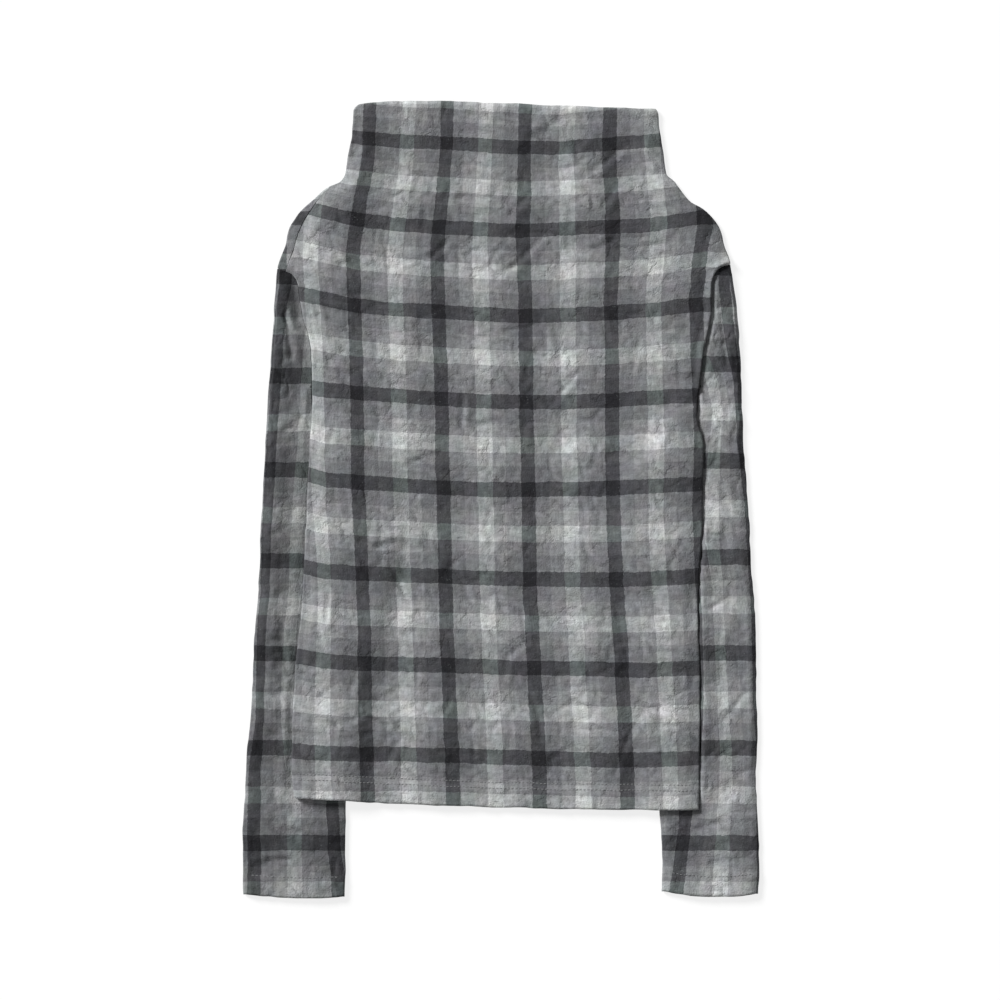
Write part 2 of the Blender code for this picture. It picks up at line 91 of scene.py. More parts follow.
BodyRow = namedtuple("BodyRow", "left_x left_y right_x right_y middle_y seam wall folded",
                     defaults=(0.0, WALL, 1.0))
BODY = [BodyRow(*row) for row in (
    # neck edge, its rounded corners, and the funnel
    (-139, 382.7, 150, 377.6, 380.2),
    (-143.4, 378, 152.4, 373, 372.8),
    (-144, 364, 153.5, 360.5, 358.5),
    (-145, 350.5, 155.5, 347, 341),
    (-148.5, 333, 158, 331.5, 323),
    # neck base and shoulders
    (-151.5, 315, 161, 315, 305, 0.6),
    (-157.5, 307.5, 169, 308, 295.5, 1.6),
    (-169, 302, 173.5, 302, 287.5, 2.4),
    (-182.5, 290.5, 183, 290, 276, 4.4),
    (-192, 282.5, 196, 282, 266.5, 7.6),
    (-200, 273, 205.5, 273, 256, 9),
    (-205.5, 261.5, 212.5, 261.5, 244, 9),
    (-209.5, 247, 217, 247, 231.5, 9),
    (-217, 223.5, 223, 228, 216, 9),
    # armholes, from shoulder point to underarm
    (-204.5, 219.5, 214.5, 225.5, 206.5, 0, WALL, 0),
    (-201, 215.5, 208.5, 220.5, 197.5, 0, WALL, 0),
    (-198, 210.5, 205.3, 213, 188, 0, WALL, 0),
    (-195.5, 198.5, 204.4, 198.5, 177, 0, WALL, 0),
    (-193, 179, 204, 180, 163.5, 0, WALL, 0),
    (-187.5, 161.5, 201.5, 164.5, 148, 0, WALL, 0),
    (-184.5, 145, 197.6, 149, 132.5, 0, WALL, 0),
    (-183.5, 127.5, 195, 129.5, 116, 0, WALL, 0),
    (-183.5, 110, 192.6, 110, 99, 0, WALL, 0),
    # side seams down to the hem
    (-183, 96.5, 190.5, 96.5, 86.5),
    (-183.5, 82.5, 189.8, 82, 73),
    (-186, 53, 196.5, 50, 43),
    (-187, 22, 196, 16, 10),
    (-189, -20, 195, -25.5, -31),
    (-191.5, -66.5, 192.3, -73, -77.5),
    (-194, -110, 191.2, -117, -121),
    (-198.5, -154.5, 193, -163.5, -165.5),
    (-201.6, -199.5, 193, -208, -209),
    (-202.8, -243, 192.8, -251.5, -252),
    (-203, -266.5, 192.2, -277, -275.5),
    (-202.8, -270, 192, -281, -279.5, 0, HEM_WALL),
    (-200.5, -289.5, 191.5, -301, -298.5, 0, HEM_WALL),
)]
SleeveRow = namedtuple("SleeveRow", "outer_x outer_y inner_x inner_y sag wall",
                       defaults=(0.0, WALL))
LEFT_SLEEVE = [SleeveRow(*row) for row in (
    (-226.6, 96.5, -183.15, 96.5),
    (-227.3, 83, -181, 83.5),
    (-228, 69, -171, 72.5),
    (-228.8, 55, -154, 59.5),
    (-229.5, 40, -138, 44.5),
    (-230.5, 22, -125, 26),
    (-231.5, -3, -115.5, 2),
    (-233, -29.5, -113, -24),
    (-234, -58.5, -116.5, -52),
    (-235.5, -88, -123, -82),
    (-238, -117, -130, -112),
    (-240, -148, -136.5, -144),
    (-241, -180, -142, -177),
    (-243, -212, -146, -210),
    (-246.5, -243, -148.5, -242),
    (-248, -272, -150, -272),
    (-249.5, -299, -150.5, -300),
    (-250.5, -328.5, -151, -330, 0.5),
    (-250.5, -361.5, -151, -363.5, 1),
    (-250.5, -365, -151, -367, 1, HEM_WALL),
    (-250, -383.1, -151.5, -385.6, 2, HEM_WALL),
)]
RIGHT_SLEEVE = [SleeveRow(*row) for row in (
    (233.5, 96.5, 190.65, 96.5),
    (234.2, 83, 190, 83),
    (234.8, 69, 180, 72),
    (235.3, 55, 166.5, 59.5),
    (236.2, 40, 153, 44.5),
    (237.8, 22, 140, 26),
    (239.5, -3, 131, 2),
    (241, -29.5, 128.5, -24),
    (242, -58.5, 131.5, -52),
    (245, -88, 137, -82),
    (246.5, -117, 142, -112),
    (247.5, -148, 145.5, -144),
    (247.5, -180, 148.5, -177),
    (248.5, -212, 151, -210),
    (248.5, -243, 152.5, -242),
    (247.5, -272, 153.5, -272),
    (248.5, -299, 153.5, -300),
    (250.5, -328.5, 156, -329, 0.5),
    (250.5, -359.5, 156.5, -357.5, 2),
    (250.5, -363.5, 156.5, -361.5, 2, HEM_WALL),
    (250, -382, 156, -380, 4.5, HEM_WALL),
)]


def smooth(t):
    """0 up to t = 0, 1 from t = 1, with an even S between them."""
    t = np.clip(t, 0.0, 1.0)
    return t * t * (3.0 - 2.0 * t)


def glide(knots, values, at):
    """Smooth curve through each column of a table, that never swings past its rows.

    Between two rows it is the cubic with a slope at each row; the slope is the
    harmonic mean of the slopes on both sides, or 0 where they differ in sign.
    """
    values = np.asarray(values, float)
    step = np.diff(knots)[:, None]
    chord = np.diff(values, axis=0) / step
    before, after = chord[:-1], chord[1:]
    same = before * after > 0.0
    bend = np.where(same, 2.0 * before * after / np.where(same, before + after, 1.0), 0.0)
    slope = np.vstack([chord[:1], bend, chord[-1:]])
    i = np.clip(np.searchsorted(knots, at, side="right") - 1, 0, len(knots) - 2)
    t = ((at - knots[i]) / step[i, 0])[:, None]
    rise = values[i + 1] - values[i]
    start, end = slope[i] * step[i], slope[i + 1] * step[i]
    return (values[i] + t * start + t * t * (3.0 * rise - 2.0 * start - end)
            + t ** 3 * (start + end - 2.0 * rise))


def fine_rows(points, numbers):
    """Rows of a table brought ROW_STEP apart, measured along the given points."""
    points = np.asarray(points, float)
    run = np.hypot(*np.diff(points, axis=0).T)
    knots = np.concatenate([[0.0], np.cumsum(run)])
    count = int(round(knots[-1] / ROW_STEP)) + 1
    return glide(knots, numbers, np.linspace(0.0, knots[-1], count))


body_mean = [((row.left_x + row.right_x) / 2.0, (row.left_y + row.right_y) / 2.0) for row in BODY]
BODY_FINE = fine_rows(body_mean, BODY)
LEFT_X, LEFT_Y, RIGHT_X, RIGHT_Y, MIDDLE_Y, SEAM, ROW_WALL, FOLDED = (
    BODY_FINE[:, i, None] for i in range(8))


def on_section(inward):
    """Plan points of every body row, at distances in from its left end."""
    u = inward / (RIGHT_X - LEFT_X)
    y = (LEFT_Y * (1.0 - u) * (1.0 - 2.0 * u) + MIDDLE_Y * 4.0 * u * (1.0 - u)
         + RIGHT_Y * u * (2.0 * u - 1.0))
    bow_end = BODY[NECK_BOW_ROW].left_y
    bow = smooth((LEFT_Y - bow_end) / (BODY[0].left_y - bow_end))
    rise = NECK_RISE * (u / NECK_PEAK) * np.exp(1.0 - u / NECK_PEAK)
    return LEFT_X + inward, y + bow * rise


def away_from(x, y, path):
    """Plan distance from points to the nearest stretch of a path."""
    nearest = np.full(np.shape(x), np.inf)
    for (ax, ay), (bx, by) in zip(path[:-1], path[1:]):
        run_x, run_y = bx - ax, by - ay
        t = ((x - ax) * run_x + (y - ay) * run_y) / (run_x ** 2 + run_y ** 2)
        t = np.clip(t, 0.0, 1.0)
        nearest = np.minimum(nearest, np.hypot(x - ax - t * run_x, y - ay - t * run_y))
    return nearest


def body_lift(x, y):
    """OVER_SLEEVE where the body lies on a sleeve, and an S-shaped ramp beside it."""
    lift = np.zeros(np.shape(x))
    for table, side in ((LEFT_SLEEVE, -1.0), (RIGHT_SLEEVE, 1.0)):
        edge = [(row.inner_x, row.inner_y) for row in table[1:]]
        edge_x, edge_y = np.array(edge[::-1]).T
        covered = (side * x >= side * np.interp(y, edge_y, edge_x)) & (y <= edge_y[-1])
        away = np.where(covered, 0.0, away_from(x, y, edge))
        lift = np.maximum(lift, OVER_SLEEVE * smooth(1.0 - (away - LIFT_MARGIN) / LIFT_RAMP))
    return lift


LATTICE = 64


def lumps(x, y, size, seed):
    """Smooth random height from -1 to 1: lattice values a size apart, blended by S curves."""
    lattice = np.random.default_rng(seed).uniform(-1.0, 1.0, (LATTICE, LATTICE))
    u, v = x / size, y / size
    i, j = np.floor(u).astype(int), np.floor(v).astype(int)
    s, t = smooth(u - i), smooth(v - j)
    i, j, i_after, j_after = (k % LATTICE for k in (i, j, i + 1, j + 1))
    near = lattice[i, j] * (1.0 - s) + lattice[i_after, j] * s
    far = lattice[i, j_after] * (1.0 - s) + lattice[i_after, j_after] * s
    return near * (1.0 - t) + far * t


# Crushed wool: two sizes of soft lumps, turned to each other, with their heights, and
# three sizes of valleys with their depths and how far each is turned, in radians.
LUMPS = ((31.0, 0.45), (15.0, 0.30))
LUMPS_SKEW = 0.6
VALLEYS = ((23.0, 1.3, 0.4), (15.0, 1.0, 1.3), (9.5, 0.65, 2.2))
VALLEY_WIDTH = 2.3
VALLEY_BEND = (4.0, 13.0)   # how far a valley strays, and over what length
VALLEY_FADE = (1.6, 1.9)    # how sharply valleys fade, and over how many of their sizes
WANDER = ((0.45, 19.0), (0.4, 8.0))   # nudges in plan, each with its length
WANDER_SEEDS = (600, 602)   # for x and y


def crinkle(x, y, seed):
    """Crushed-wool relief in millimetres: soft lumps, parted by short sharp valleys.

    A valley is where a smooth random field passes through 0.  Three fields at turned
    and bent coordinates give valleys at every angle, and a wider field fades them in
    and out, so that none runs on for long.
    """
    (wide, wide_height), (narrow, narrow_height) = LUMPS
    stray, length = VALLEY_BEND
    sharpness, patch = VALLEY_FADE
    height = wide_height * lumps(x, y, wide, seed) + narrow_height * lumps(
        x + LUMPS_SKEW * y, y - LUMPS_SKEW * x, narrow, seed + 1)
    for k, (size, depth, turn) in enumerate(VALLEYS):
        bend_x = x + stray * lumps(x, y, length, seed + 10 + k)
        bend_y = y + stray * lumps(x, y, length, seed + 20 + k)
        turned_x = bend_x * math.cos(turn) + bend_y * math.sin(turn)
        turned_y = bend_y * math.cos(turn) - bend_x * math.sin(turn)
        field = lumps(turned_x, turned_y, size, seed + 30 + k)
        there = smooth(0.5 + sharpness * lumps(x, y, patch * size, seed + 40 + k))
        height -= depth * there * np.exp(-(field * size / VALLEY_WIDTH) ** 2)
    return height


def resting(x, y, seed, mean, share, most):
    """Low crinkle of a side that rests on something: a share of it about a mean, cut off."""
    return np.clip(mean + share * crinkle(x, y, seed), 0.0, most)


def wander(points):
    """Points nudged in plan by up to a millimetre or so, as cloth never lies ruled.

    It is one field for every piece, so that neighbours keep their gaps.
    """
    x, y = points[..., 0], points[..., 1]
    (far, long_run), (near, short_run) = WANDER
    shifts = [far * lumps(x, y, long_run, seed) + near * lumps(x, y, short_run, seed + 1)
              for seed in WANDER_SEEDS]
    return points + np.stack([*shifts, np.zeros(x.shape)], axis=-1)


def fold_arc(run, wall, radius):
    """Distance in from a fold and height over its middle, for runs along the cloth.

    The fold is half round, with the radius of half the distance between the layers.
    """
    middle = (PLY_GAP + wall) / 2.0
    quarter = middle * math.pi / 2.0
    angle = np.clip(run, -quarter, quarter) / middle
    inward = middle + wall / 2.0 - radius * np.cos(angle) + np.maximum(np.abs(run) - quarter, 0.0)
    return inward, radius * np.sin(angle)


def panel_grid(side, surface):
    """Distances in from the left end and heights for a panel, one line per body row.

    side is +1 for the front and -1 for the back, surface +1 outside and -1 inside.
    """
    middle = (PLY_GAP + ROW_WALL) / 2.0
    radius = middle + surface * ROW_WALL / 2.0
    quarter = middle * math.pi / 2.0
    steps = np.linspace(0.0, 1.0, RIM_CELLS + 1)[None, :]
    flat_in, flat_z = steps * quarter, radius + 0.0 * steps
    rims = []
    for seam in (SEAM if side > 0 else 0.0, 0.0):
        run = seam + SEAM_GAP / 2.0 + steps * (quarter - SEAM_GAP / 2.0)
        rim_in, rim_z = fold_arc(run, ROW_WALL, radius)
        rims.append((flat_in + FOLDED * (rim_in - flat_in), flat_z + FOLDED * (rim_z - flat_z)))
    (left_in, left_z), (right_in, right_z) = rims
    width = RIGHT_X - LEFT_X
    share = np.linspace(0.0, 1.0, PANEL_COLUMNS + 1)[None, 1:-1]
    first, last = left_in[:, -1:], width - right_in[:, -1:]
    inward = np.hstack([left_in, first + share * (last - first), width - right_in[:, ::-1]])
    height = np.hstack([left_z, radius + 0.0 * share, right_z[:, ::-1]])
    return inward, height


def add_piece(name, points, faces):
    """Object at the origin with a smooth mesh; points are in millimetres."""
    mesh = bpy.data.meshes.new(name)
    mesh.from_pydata((np.asarray(points) * MM).tolist(), [], faces)
    mesh.shade_smooth()
    piece = bpy.data.objects.new(name, mesh)
    bpy.context.scene.collection.objects.link(piece)
    return piece


def turn_out(piece):
    """Faces of a closed shell turned outwards, by the sign of the volume it encloses."""
    mesh = piece.data
    points = np.empty(len(mesh.vertices) * 3, np.float32)
    mesh.vertices.foreach_get("co", points)
    points = points.reshape(-1, 3).astype(float)
    corners = np.empty(len(mesh.polygons) * 4, np.int32)
    mesh.polygons.foreach_get("vertices", corners)
    a, b, c, d = points[corners.reshape(-1, 4)].transpose(1, 0, 2)
    volume = (a * (np.cross(b, c) + np.cross(c, d))).sum()
    if volume < 0.0:
        mesh.flip_normals()


def cloth_shell(name, outside, inside, cells, warp, weft):
    """Closed shell between two grids of points, with the check's coordinates as a UV map.

    Where there are as many cells across as points, the grid closes as a tube.  warp
    and weft count the check's repeats, and the UV map "check" carries them.
    """
    rows, columns = outside.shape[:2]
    number = np.arange(rows * columns).reshape(rows, columns)
    after = np.roll(number, -1, axis=1)[:, :cells.shape[1]]
    here = number[:, :cells.shape[1]]
    inner = rows * columns
    padded = np.zeros((cells.shape[0] + 2, cells.shape[1] + 2), bool)
    padded[1:-1, 1:-1] = cells
    if cells.shape[1] == columns:
        padded[1:-1, 0], padded[1:-1, -1] = cells[:, -1], cells[:, 0]
    top = cells & ~padded[:-2, 1:-1]
    bottom = cells & ~padded[2:, 1:-1]
    left = cells & ~padded[1:-1, :-2]
    right = cells & ~padded[1:-1, 2:]
    a, b, c, d = here[:-1], here[1:], after[1:], after[:-1]
    quads = np.stack([a, b, c, d], axis=-1)[cells]
    faces = [quads, quads[:, ::-1] + inner]
    for open_edge, p, q in ((top, d, a), (bottom, b, c), (left, a, b), (right, c, d)):
        p, q = p[open_edge], q[open_edge]
        faces.append(np.stack([q, p, p + inner, q + inner], axis=-1))
    faces = np.concatenate(faces)
    points = wander(np.concatenate([outside.reshape(-1, 3), inside.reshape(-1, 3)]))
    used = np.unique(faces)
    order = np.full(len(points), -1)
    order[used] = np.arange(used.size)
    faces = order[faces]
    piece = add_piece(name, points[used], faces.tolist())
    uv = np.stack([np.ravel(warp), np.ravel(weft)], axis=-1)
    uv = np.concatenate([uv, uv])[used]
    layer = piece.data.uv_layers.new(name="check")
    layer.data.foreach_set("uv", uv[faces.ravel()].astype(np.float32).ravel())
    turn_out(piece)
    return piece


# The wool's colours, where warp and weft are the same yarn.
CHECK_DARK = "29292C"
CHECK_SHADE = "717275"
CHECK_MIDDLE = "88898B"
CHECK_LIGHT = "C3C5C5"
# Where each stripe begins, as a share of the repeat; warp and weft are alike.
STRIPES = [(0.0, CHECK_DARK), (0.08, CHECK_SHADE), (0.245, CHECK_MIDDLE), (0.405, CHECK_LIGHT),
           (0.585, CHECK_MIDDLE), (0.735, CHECK_SHADE), (0.915, CHECK_DARK)]


def linear(hex_colour):
    """sRGB hex to linear RGBA."""
    channels = [int(hex_colour[i:i + 2], 16) / 255.0 for i in (0, 2, 4)]
    return tuple(c / 12.92 if c <= 0.04045 else ((c + 0.055) / 1.055) ** 2.4
                 for c in channels) + (1.0,)


def node(tree, kind, links=(), **settings):
    """Adds a shader node; links are (input, source socket), and values sets its inputs."""
    made = tree.nodes.new("ShaderNode" + kind)
    values = settings.pop("values", {})
    for name, value in settings.items():
        setattr(made, name, value)
    for key, value in values.items():
        made.inputs[key].default_value = value
    for key, source in links:
        tree.links.new(source, made.inputs[key])
    return made


def in_a_metre(size):
    """Whole number of features along a metre, for a feature's size in millimetres."""
    return float(round(1.0 / (size * MM)))


def checked_wool(depth=1.0):
    """Woven and brushed wool check, crushed in the wash: matt, with a short nap.

    The colour of a crossing lies midway between its two yarns, as the eye sees them,
    so it is the square root of the product of warp and weft colour.  The yarns are
    about 1 mm; at this distance only their unevenness shows, as fine streaks along
    both, so the streaks are drawn 2 to 3 yarns wide.  depth darkens the whole, as
    painted shade for a piece that lies in shade.  The pinched lines are darkened as
    painted shade too.
    """
    wool = bpy.data.materials.new("brushed_check_wool")
    wool.use_nodes = True
    tree = wool.node_tree
    shader = tree.nodes["Principled BSDF"]
    check = node(tree, "UVMap", uv_map="check").outputs["UV"]
    place = node(tree, "TexCoord").outputs["Object"]

    # the yarns wander by up to a millimetre, so that the stripes' edges aren't ruled
    drift = node(tree, "TexNoise", [("Vector", place)],
                 values={"Scale": in_a_metre(4.17), "Detail": 2.0, "Roughness": 0.6}).outputs["Color"]
    offset = node(tree, "VectorMath", [(0, drift)], operation="SUBTRACT",
                  values={1: (0.5, 0.5, 0.5)}).outputs[0]
    offset = node(tree, "VectorMath", [(0, offset)], operation="SCALE",
                  values={"Scale": 0.028}).outputs[0]
    yarn = node(tree, "VectorMath", [(0, check), (1, offset)], operation="ADD").outputs[0]
    parts = node(tree, "SeparateXYZ", [(0, yarn)]).outputs

    stripes = []
    for direction in (parts["X"], parts["Y"]):
        share = node(tree, "Math", [(0, direction)], operation="FRACT").outputs[0]
        ramp = node(tree, "ValToRGB", [(0, share)])
        ramp.color_ramp.interpolation = "CONSTANT"
        for i, (start, colour) in enumerate(STRIPES):
            stop = ramp.color_ramp.elements[0] if i == 0 else ramp.color_ramp.elements.new(start)
            stop.color = linear(colour)
        while len(ramp.color_ramp.elements) > len(STRIPES):
            ramp.color_ramp.elements.remove(ramp.color_ramp.elements[-1])
        stripes.append(ramp.outputs["Color"])
    product = node(tree, "Mix", [(6, stripes[0]), (7, stripes[1])], data_type="RGBA",
                   blend_type="MULTIPLY", values={0: 1.0}).outputs[2]
    colour = node(tree, "Gamma", [(0, product)], values={"Gamma": 0.5}).outputs[0]
    # where light crosses dark, the light yarn wins a little and shows its green-blue cast
    apart = node(tree, "Mix", [(6, stripes[0]), (7, stripes[1])], data_type="RGBA",
                 blend_type="DIFFERENCE", values={0: 1.0}).outputs[2]
    apart = node(tree, "MapRange", [("Value", apart)],
                 values={"From Min": 0.37, "From Max": 0.47}).outputs[0]
    cast = node(tree, "Mix", [(0, apart)], data_type="RGBA",
                values={6: (1.0, 1.0, 1.0, 1.0), 7: (1.10, 1.21, 1.14, 1.0)}).outputs[2]
    colour = node(tree, "VectorMath", [(0, colour), (1, cast)], operation="MULTIPLY").outputs[0]
    # and the dye lots differ a little in hue
    hue = node(tree, "TexNoise", [("Vector", place)],
               values={"Scale": in_a_metre(16.7), "Detail": 3.0}).outputs["Color"]
    hue = node(tree, "VectorMath", [(0, hue)], operation="MULTIPLY_ADD",
               values={1: (0.13, 0.13, 0.13), 2: (0.935, 0.937, 0.931)}).outputs[0]
    colour = node(tree, "VectorMath", [(0, colour), (1, hue)], operation="MULTIPLY").outputs[0]

    # unevenness: streaks along warp and weft, about 2.8 mm across and 21 mm long, and
    # the mottle of the brushed nap
    tones = []
    for name, stretch in (("warp", (30.0, 4.0, 1.0)), ("weft", (4.0, 30.0, 1.0))):
        line = node(tree, "Mapping", [("Vector", yarn)],
                    values={"Scale": stretch}).outputs[0]
        tones.append((node(tree, "TexNoise", [("Vector", line)], label=name,
                           values={"Scale": 1.0, "Detail": 2.0}).outputs["Fac"], 0.15))
    for label, size, detail, strength in (("mottle", 5.56, 5.0, 0.32),
                                          ("clouds", 35.7, 2.0, 0.12)):
        tones.append((node(tree, "TexNoise", [("Vector", place)], label=label,
                           values={"Scale": in_a_metre(size), "Detail": detail,
                                   "Roughness": 0.65}).outputs["Fac"], strength))
    for source, strength in tones:
        tone = node(tree, "MapRange", [("Value", source)],
                    values={"From Min": 0.2, "From Max": 0.8, "To Min": 1.0 - strength,
                            "To Max": 1.0 + strength}).outputs[0]
        colour = node(tree, "VectorMath", [(0, colour), (1, tone)],
                      operation="MULTIPLY").outputs[0]

    # pale fibres that the brushing has raised, most of them in the light stripes
    fleck = node(tree, "TexNoise", [("Vector", place)],
                 values={"Scale": in_a_metre(1.923), "Detail": 2.0,
                         "Roughness": 0.7}).outputs["Fac"]
    fleck = node(tree, "MapRange", [("Value", fleck)],
                 values={"From Min": 0.64, "From Max": 0.78, "To Max": 0.16}).outputs[0]
    pale = node(tree, "Mix", [(0, fleck), (6, colour)], data_type="RGBA",
                values={7: linear("C9D2CF")}).outputs[2]
    shader.inputs["Roughness"].default_value = 0.95
    shader.inputs["Specular IOR Level"].default_value = 0.1
    shader.inputs["Sheen Weight"].default_value = 0.2
    shader.inputs["Sheen Roughness"].default_value = 0.4

    # pinched lines, where the cloth was crushed: a net of cells, bent and broken up; they bend the
    # normal, and darken the colour as painted shade
    bend = node(tree, "TexNoise", [("Vector", place)],
                values={"Scale": in_a_metre(11.1), "Detail": 4.0,
                        "Roughness": 0.7}).outputs["Color"]
    bent = node(tree, "VectorMath", [(0, bend), (2, place)], operation="MULTIPLY_ADD",
                values={1: (22.0 * MM, 22.0 * MM, 0.0)}).outputs[0]
    net = node(tree, "TexVoronoi", [("Vector", bent)], feature="DISTANCE_TO_EDGE",
               values={"Scale": in_a_metre(16.1)}).outputs["Distance"]
    net = node(tree, "MapRange", [("Value", net)],
               values={"From Max": 0.15, "To Min": 1.0, "To Max": 0.0}).outputs[0]
    broken = node(tree, "TexNoise", [("Vector", place)],
                  values={"Scale": in_a_metre(18.2), "Detail": 2.0}).outputs["Fac"]
    broken = node(tree, "MapRange", [("Value", broken)],
                  values={"From Min": 0.48, "From Max": 0.62}).outputs[0]
    pinch = node(tree, "Math", [(0, net), (1, broken)], operation="MULTIPLY").outputs[0]

    # fine crinkle and nap, too small for the mesh
    creases = node(tree, "TexNoise", [("Vector", place)],
                   noise_type="RIDGED_MULTIFRACTAL",
                   values={"Scale": in_a_metre(10.5), "Detail": 3.0, "Roughness": 0.6,
                           "Distortion": 0.8}).outputs["Fac"]
    nap = node(tree, "TexNoise", [("Vector", place)],
               values={"Scale": in_a_metre(1.429), "Detail": 2.0}).outputs["Fac"]
    both = node(tree, "Math", [(0, creases), (2, nap)], operation="MULTIPLY_ADD",
                values={1: -0.9}).outputs[0]
    both = node(tree, "Math", [(0, pinch), (2, both)], operation="MULTIPLY_ADD",
                values={1: -0.7}).outputs[0]
    bump = node(tree, "Bump", [("Height", both)],
                values={"Strength": 0.7, "Distance": 0.8 * MM}).outputs[0]
    tree.links.new(bump, shader.inputs["Normal"])
    # painted shade: the colour darkens by a fifth along the pinched lines, and by depth over the
    # whole
    painted_shade = node(tree, "MapRange", [("Value", pinch)],
                  values={"To Min": depth, "To Max": 0.80 * depth}).outputs[0]
    final = node(tree, "VectorMath", [(0, pale), (1, painted_shade)], operation="MULTIPLY").outputs[0]
    tree.links.new(final, shader.inputs["Base Color"])
    return wool


WOOL = checked_wool()
WARP_REPEAT = 82.5
WEFT_REPEAT = 84.8
BACK_STRIPE_X = -215.0   # a dark warp stripe of the back, seen on the left shoulder
BACK_STRIPE_Y = 273.0    # and a dark weft stripe
BACK_RIM = (4.0, 12.0)   # the crinkle starts this far in, and is full after this much more
STRIP_RIM = (2.0, 4.0)   # the same on the shoulder strip
LEAST_STRIP = 1.0        # no strip narrower than this is cut
# Crinkle of a side that rests, as resting() takes it: seed, mean, share and most.
BACK_CRINKLE = (500, 0.35, 0.25, 0.5)
STRIP_CRINKLE = (520, 0.5, 0.3, 0.9)
# points of the shoulder strip, as shares of the way from the fold to its seam
STRIP_SHARES = (1.0, 0.95, 0.8, 0.6, 0.4, 0.26, 0.18, 0.12, 0.05)


def back_point(surface):
    """Grid of the back: the strip over the left shoulder, then the panel."""
    inward, height = panel_grid(-1.0, surface)
    x, y = on_section(inward)
    lift = body_lift(x, y)
    edge = np.minimum(inward, RIGHT_X - LEFT_X - inward)
    rim, rising = BACK_RIM
    rise = smooth((edge - rim) / rising) * resting(x, y, *BACK_CRINKLE)
    z = lift + ROW_WALL + PLY_GAP / 2.0 - height + rise
    radius = (PLY_GAP + ROW_WALL) / 2.0 + surface * ROW_WALL / 2.0
    strip_in, strip_z = fold_arc(np.array(STRIP_SHARES) * SEAM - SEAM_GAP / 2.0, ROW_WALL, radius)
    strip_x, strip_y = on_section(strip_in)
    rim, rising = STRIP_RIM
    lumpy = smooth((strip_in - rim) / rising) * resting(strip_x, strip_y, *STRIP_CRINKLE)
    strip_z = ROW_WALL + PLY_GAP / 2.0 + strip_z + lumpy
    pairs = ((strip_x, x), (strip_y, y), (strip_z, z))
    return np.stack([np.hstack(pair) for pair in pairs], axis=-1)


back_out, back_in = back_point(1.0), back_point(-1.0)
back_cells = np.ones((back_out.shape[0] - 1, back_out.shape[1] - 1), bool)
has_strip = (SEAM[:, 0] > LEAST_STRIP) & (FOLDED[:, 0] > 0.5)
back_cells[~(has_strip[:-1] & has_strip[1:]), :len(STRIP_SHARES)] = False
back = cloth_shell("back_cloth", back_out, back_in, back_cells,
                   (back_out[..., 0] - BACK_STRIPE_X) / WARP_REPEAT,
                   (BACK_STRIPE_Y - back_out[..., 1]) / WEFT_REPEAT)
back.data.materials.append(WOOL)
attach(back, "root")
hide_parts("back")


# ---------------------------------------------------------------- Front
# Cut in one with the other half of the funnel neck, and sewn to the back along the
# sides and shoulders.  The neck slumps towards its middle, and the cloth is full of
# short creases from the wash; the longest of them are placed one by one.

FRONT_LOFT = 2.2
LOFT_REACH = 15.0        # it rises to its loft over this much from its edges
CRINKLE_REACH = 5.0      # and its crinkle begins over this much
LEAST_RELIEF = -0.1      # no crease cuts deeper below the flat cloth
FRONT_SEED = 100

# Centres of the dark stripes: six across at each y, from the hem up, and eight down at
# each x.  The y or x stands first.
WARP_STRIPES = np.array([
    (-286.5, -213.5, -129, -46.5, 38, 123, 206.5),
    (-223.5, -215.5, -131, -48.5, 35.5, 120.5, 204.5),
    (-185, -213.5, -132, -50.5, 33, 118, 202.5),
    (-136.5, -210.5, -132.5, -52.5, 30.5, 116, 199.5),
    (-97.5, -206.5, -134, -53.5, 28, 113, 196.5),
    (-49, -208.5, -136, -54.5, 27.5, 110, 193.5),
    (-10, -213.5, -137.5, -55.5, 27, 109, 192),
    (38.5, -215.5, -139.5, -57, 26, 107.5, 194),
    (77, -216, -139.5, -57, 25, 107.5, 193.5),
    (135.5, -217.5, -140.5, -59, 24, 107.5, 191),
    (193.5, -223, -142.5, -61, 23.5, 106.5, 189),
    (237, -226.5, -143.5, -62, 21.5, 108.5, 193.5),
    (266.5, -228, -139.5, -60, 20.5, 108.5, 198),
    (295.5, -222, -135, -57, 22.5, 107.5, 196),
    (324.5, -209.5, -129, -54.5, 22, 105, 191),
    (353.5, -208.5, -128, -52.5, 22.5, 105.5, 187),
    (382.5, -208.5, -127, -51.5, 23.5, 106.5, 186),
])
WEFT_STRIPES = np.array([
    (-195, 354.5, 285.5, 199.5, 111, 27.5, -64.5, -152, -244),
    (-170.5, 353.5, 279, 194.5, 106, 19, -69.5, -156.5, -246),
    (-141.5, 351.5, 272, 188.5, 103.5, 17, -71.5, -158.5, -247),
    (-98, 347.5, 266.5, 184, 100.5, 14, -73, -159.5, -247),
    (-25, 344, 262.5, 180, 95.5, 10, -76, -161.5, -249),
    (18.5, 341, 260.5, 178, 94.5, 9.5, -77.5, -163.5, -250.5),
    (62, 341, 262.5, 179, 94.5, 10, -77.5, -164, -251.5),
    (105.5, 345, 264.5, 181, 96, 11, -78, -165, -253),
    (144.5, 347.5, 266.5, 184, 98.5, 13, -77, -165.5, -252.5),
    (164, 349.5, 269, 186, 100.5, 14, -76, -164.5, -251.5),
    (193, 352.5, 274, 189.5, 100.5, 15, -73, -163.5, -250.5),
])
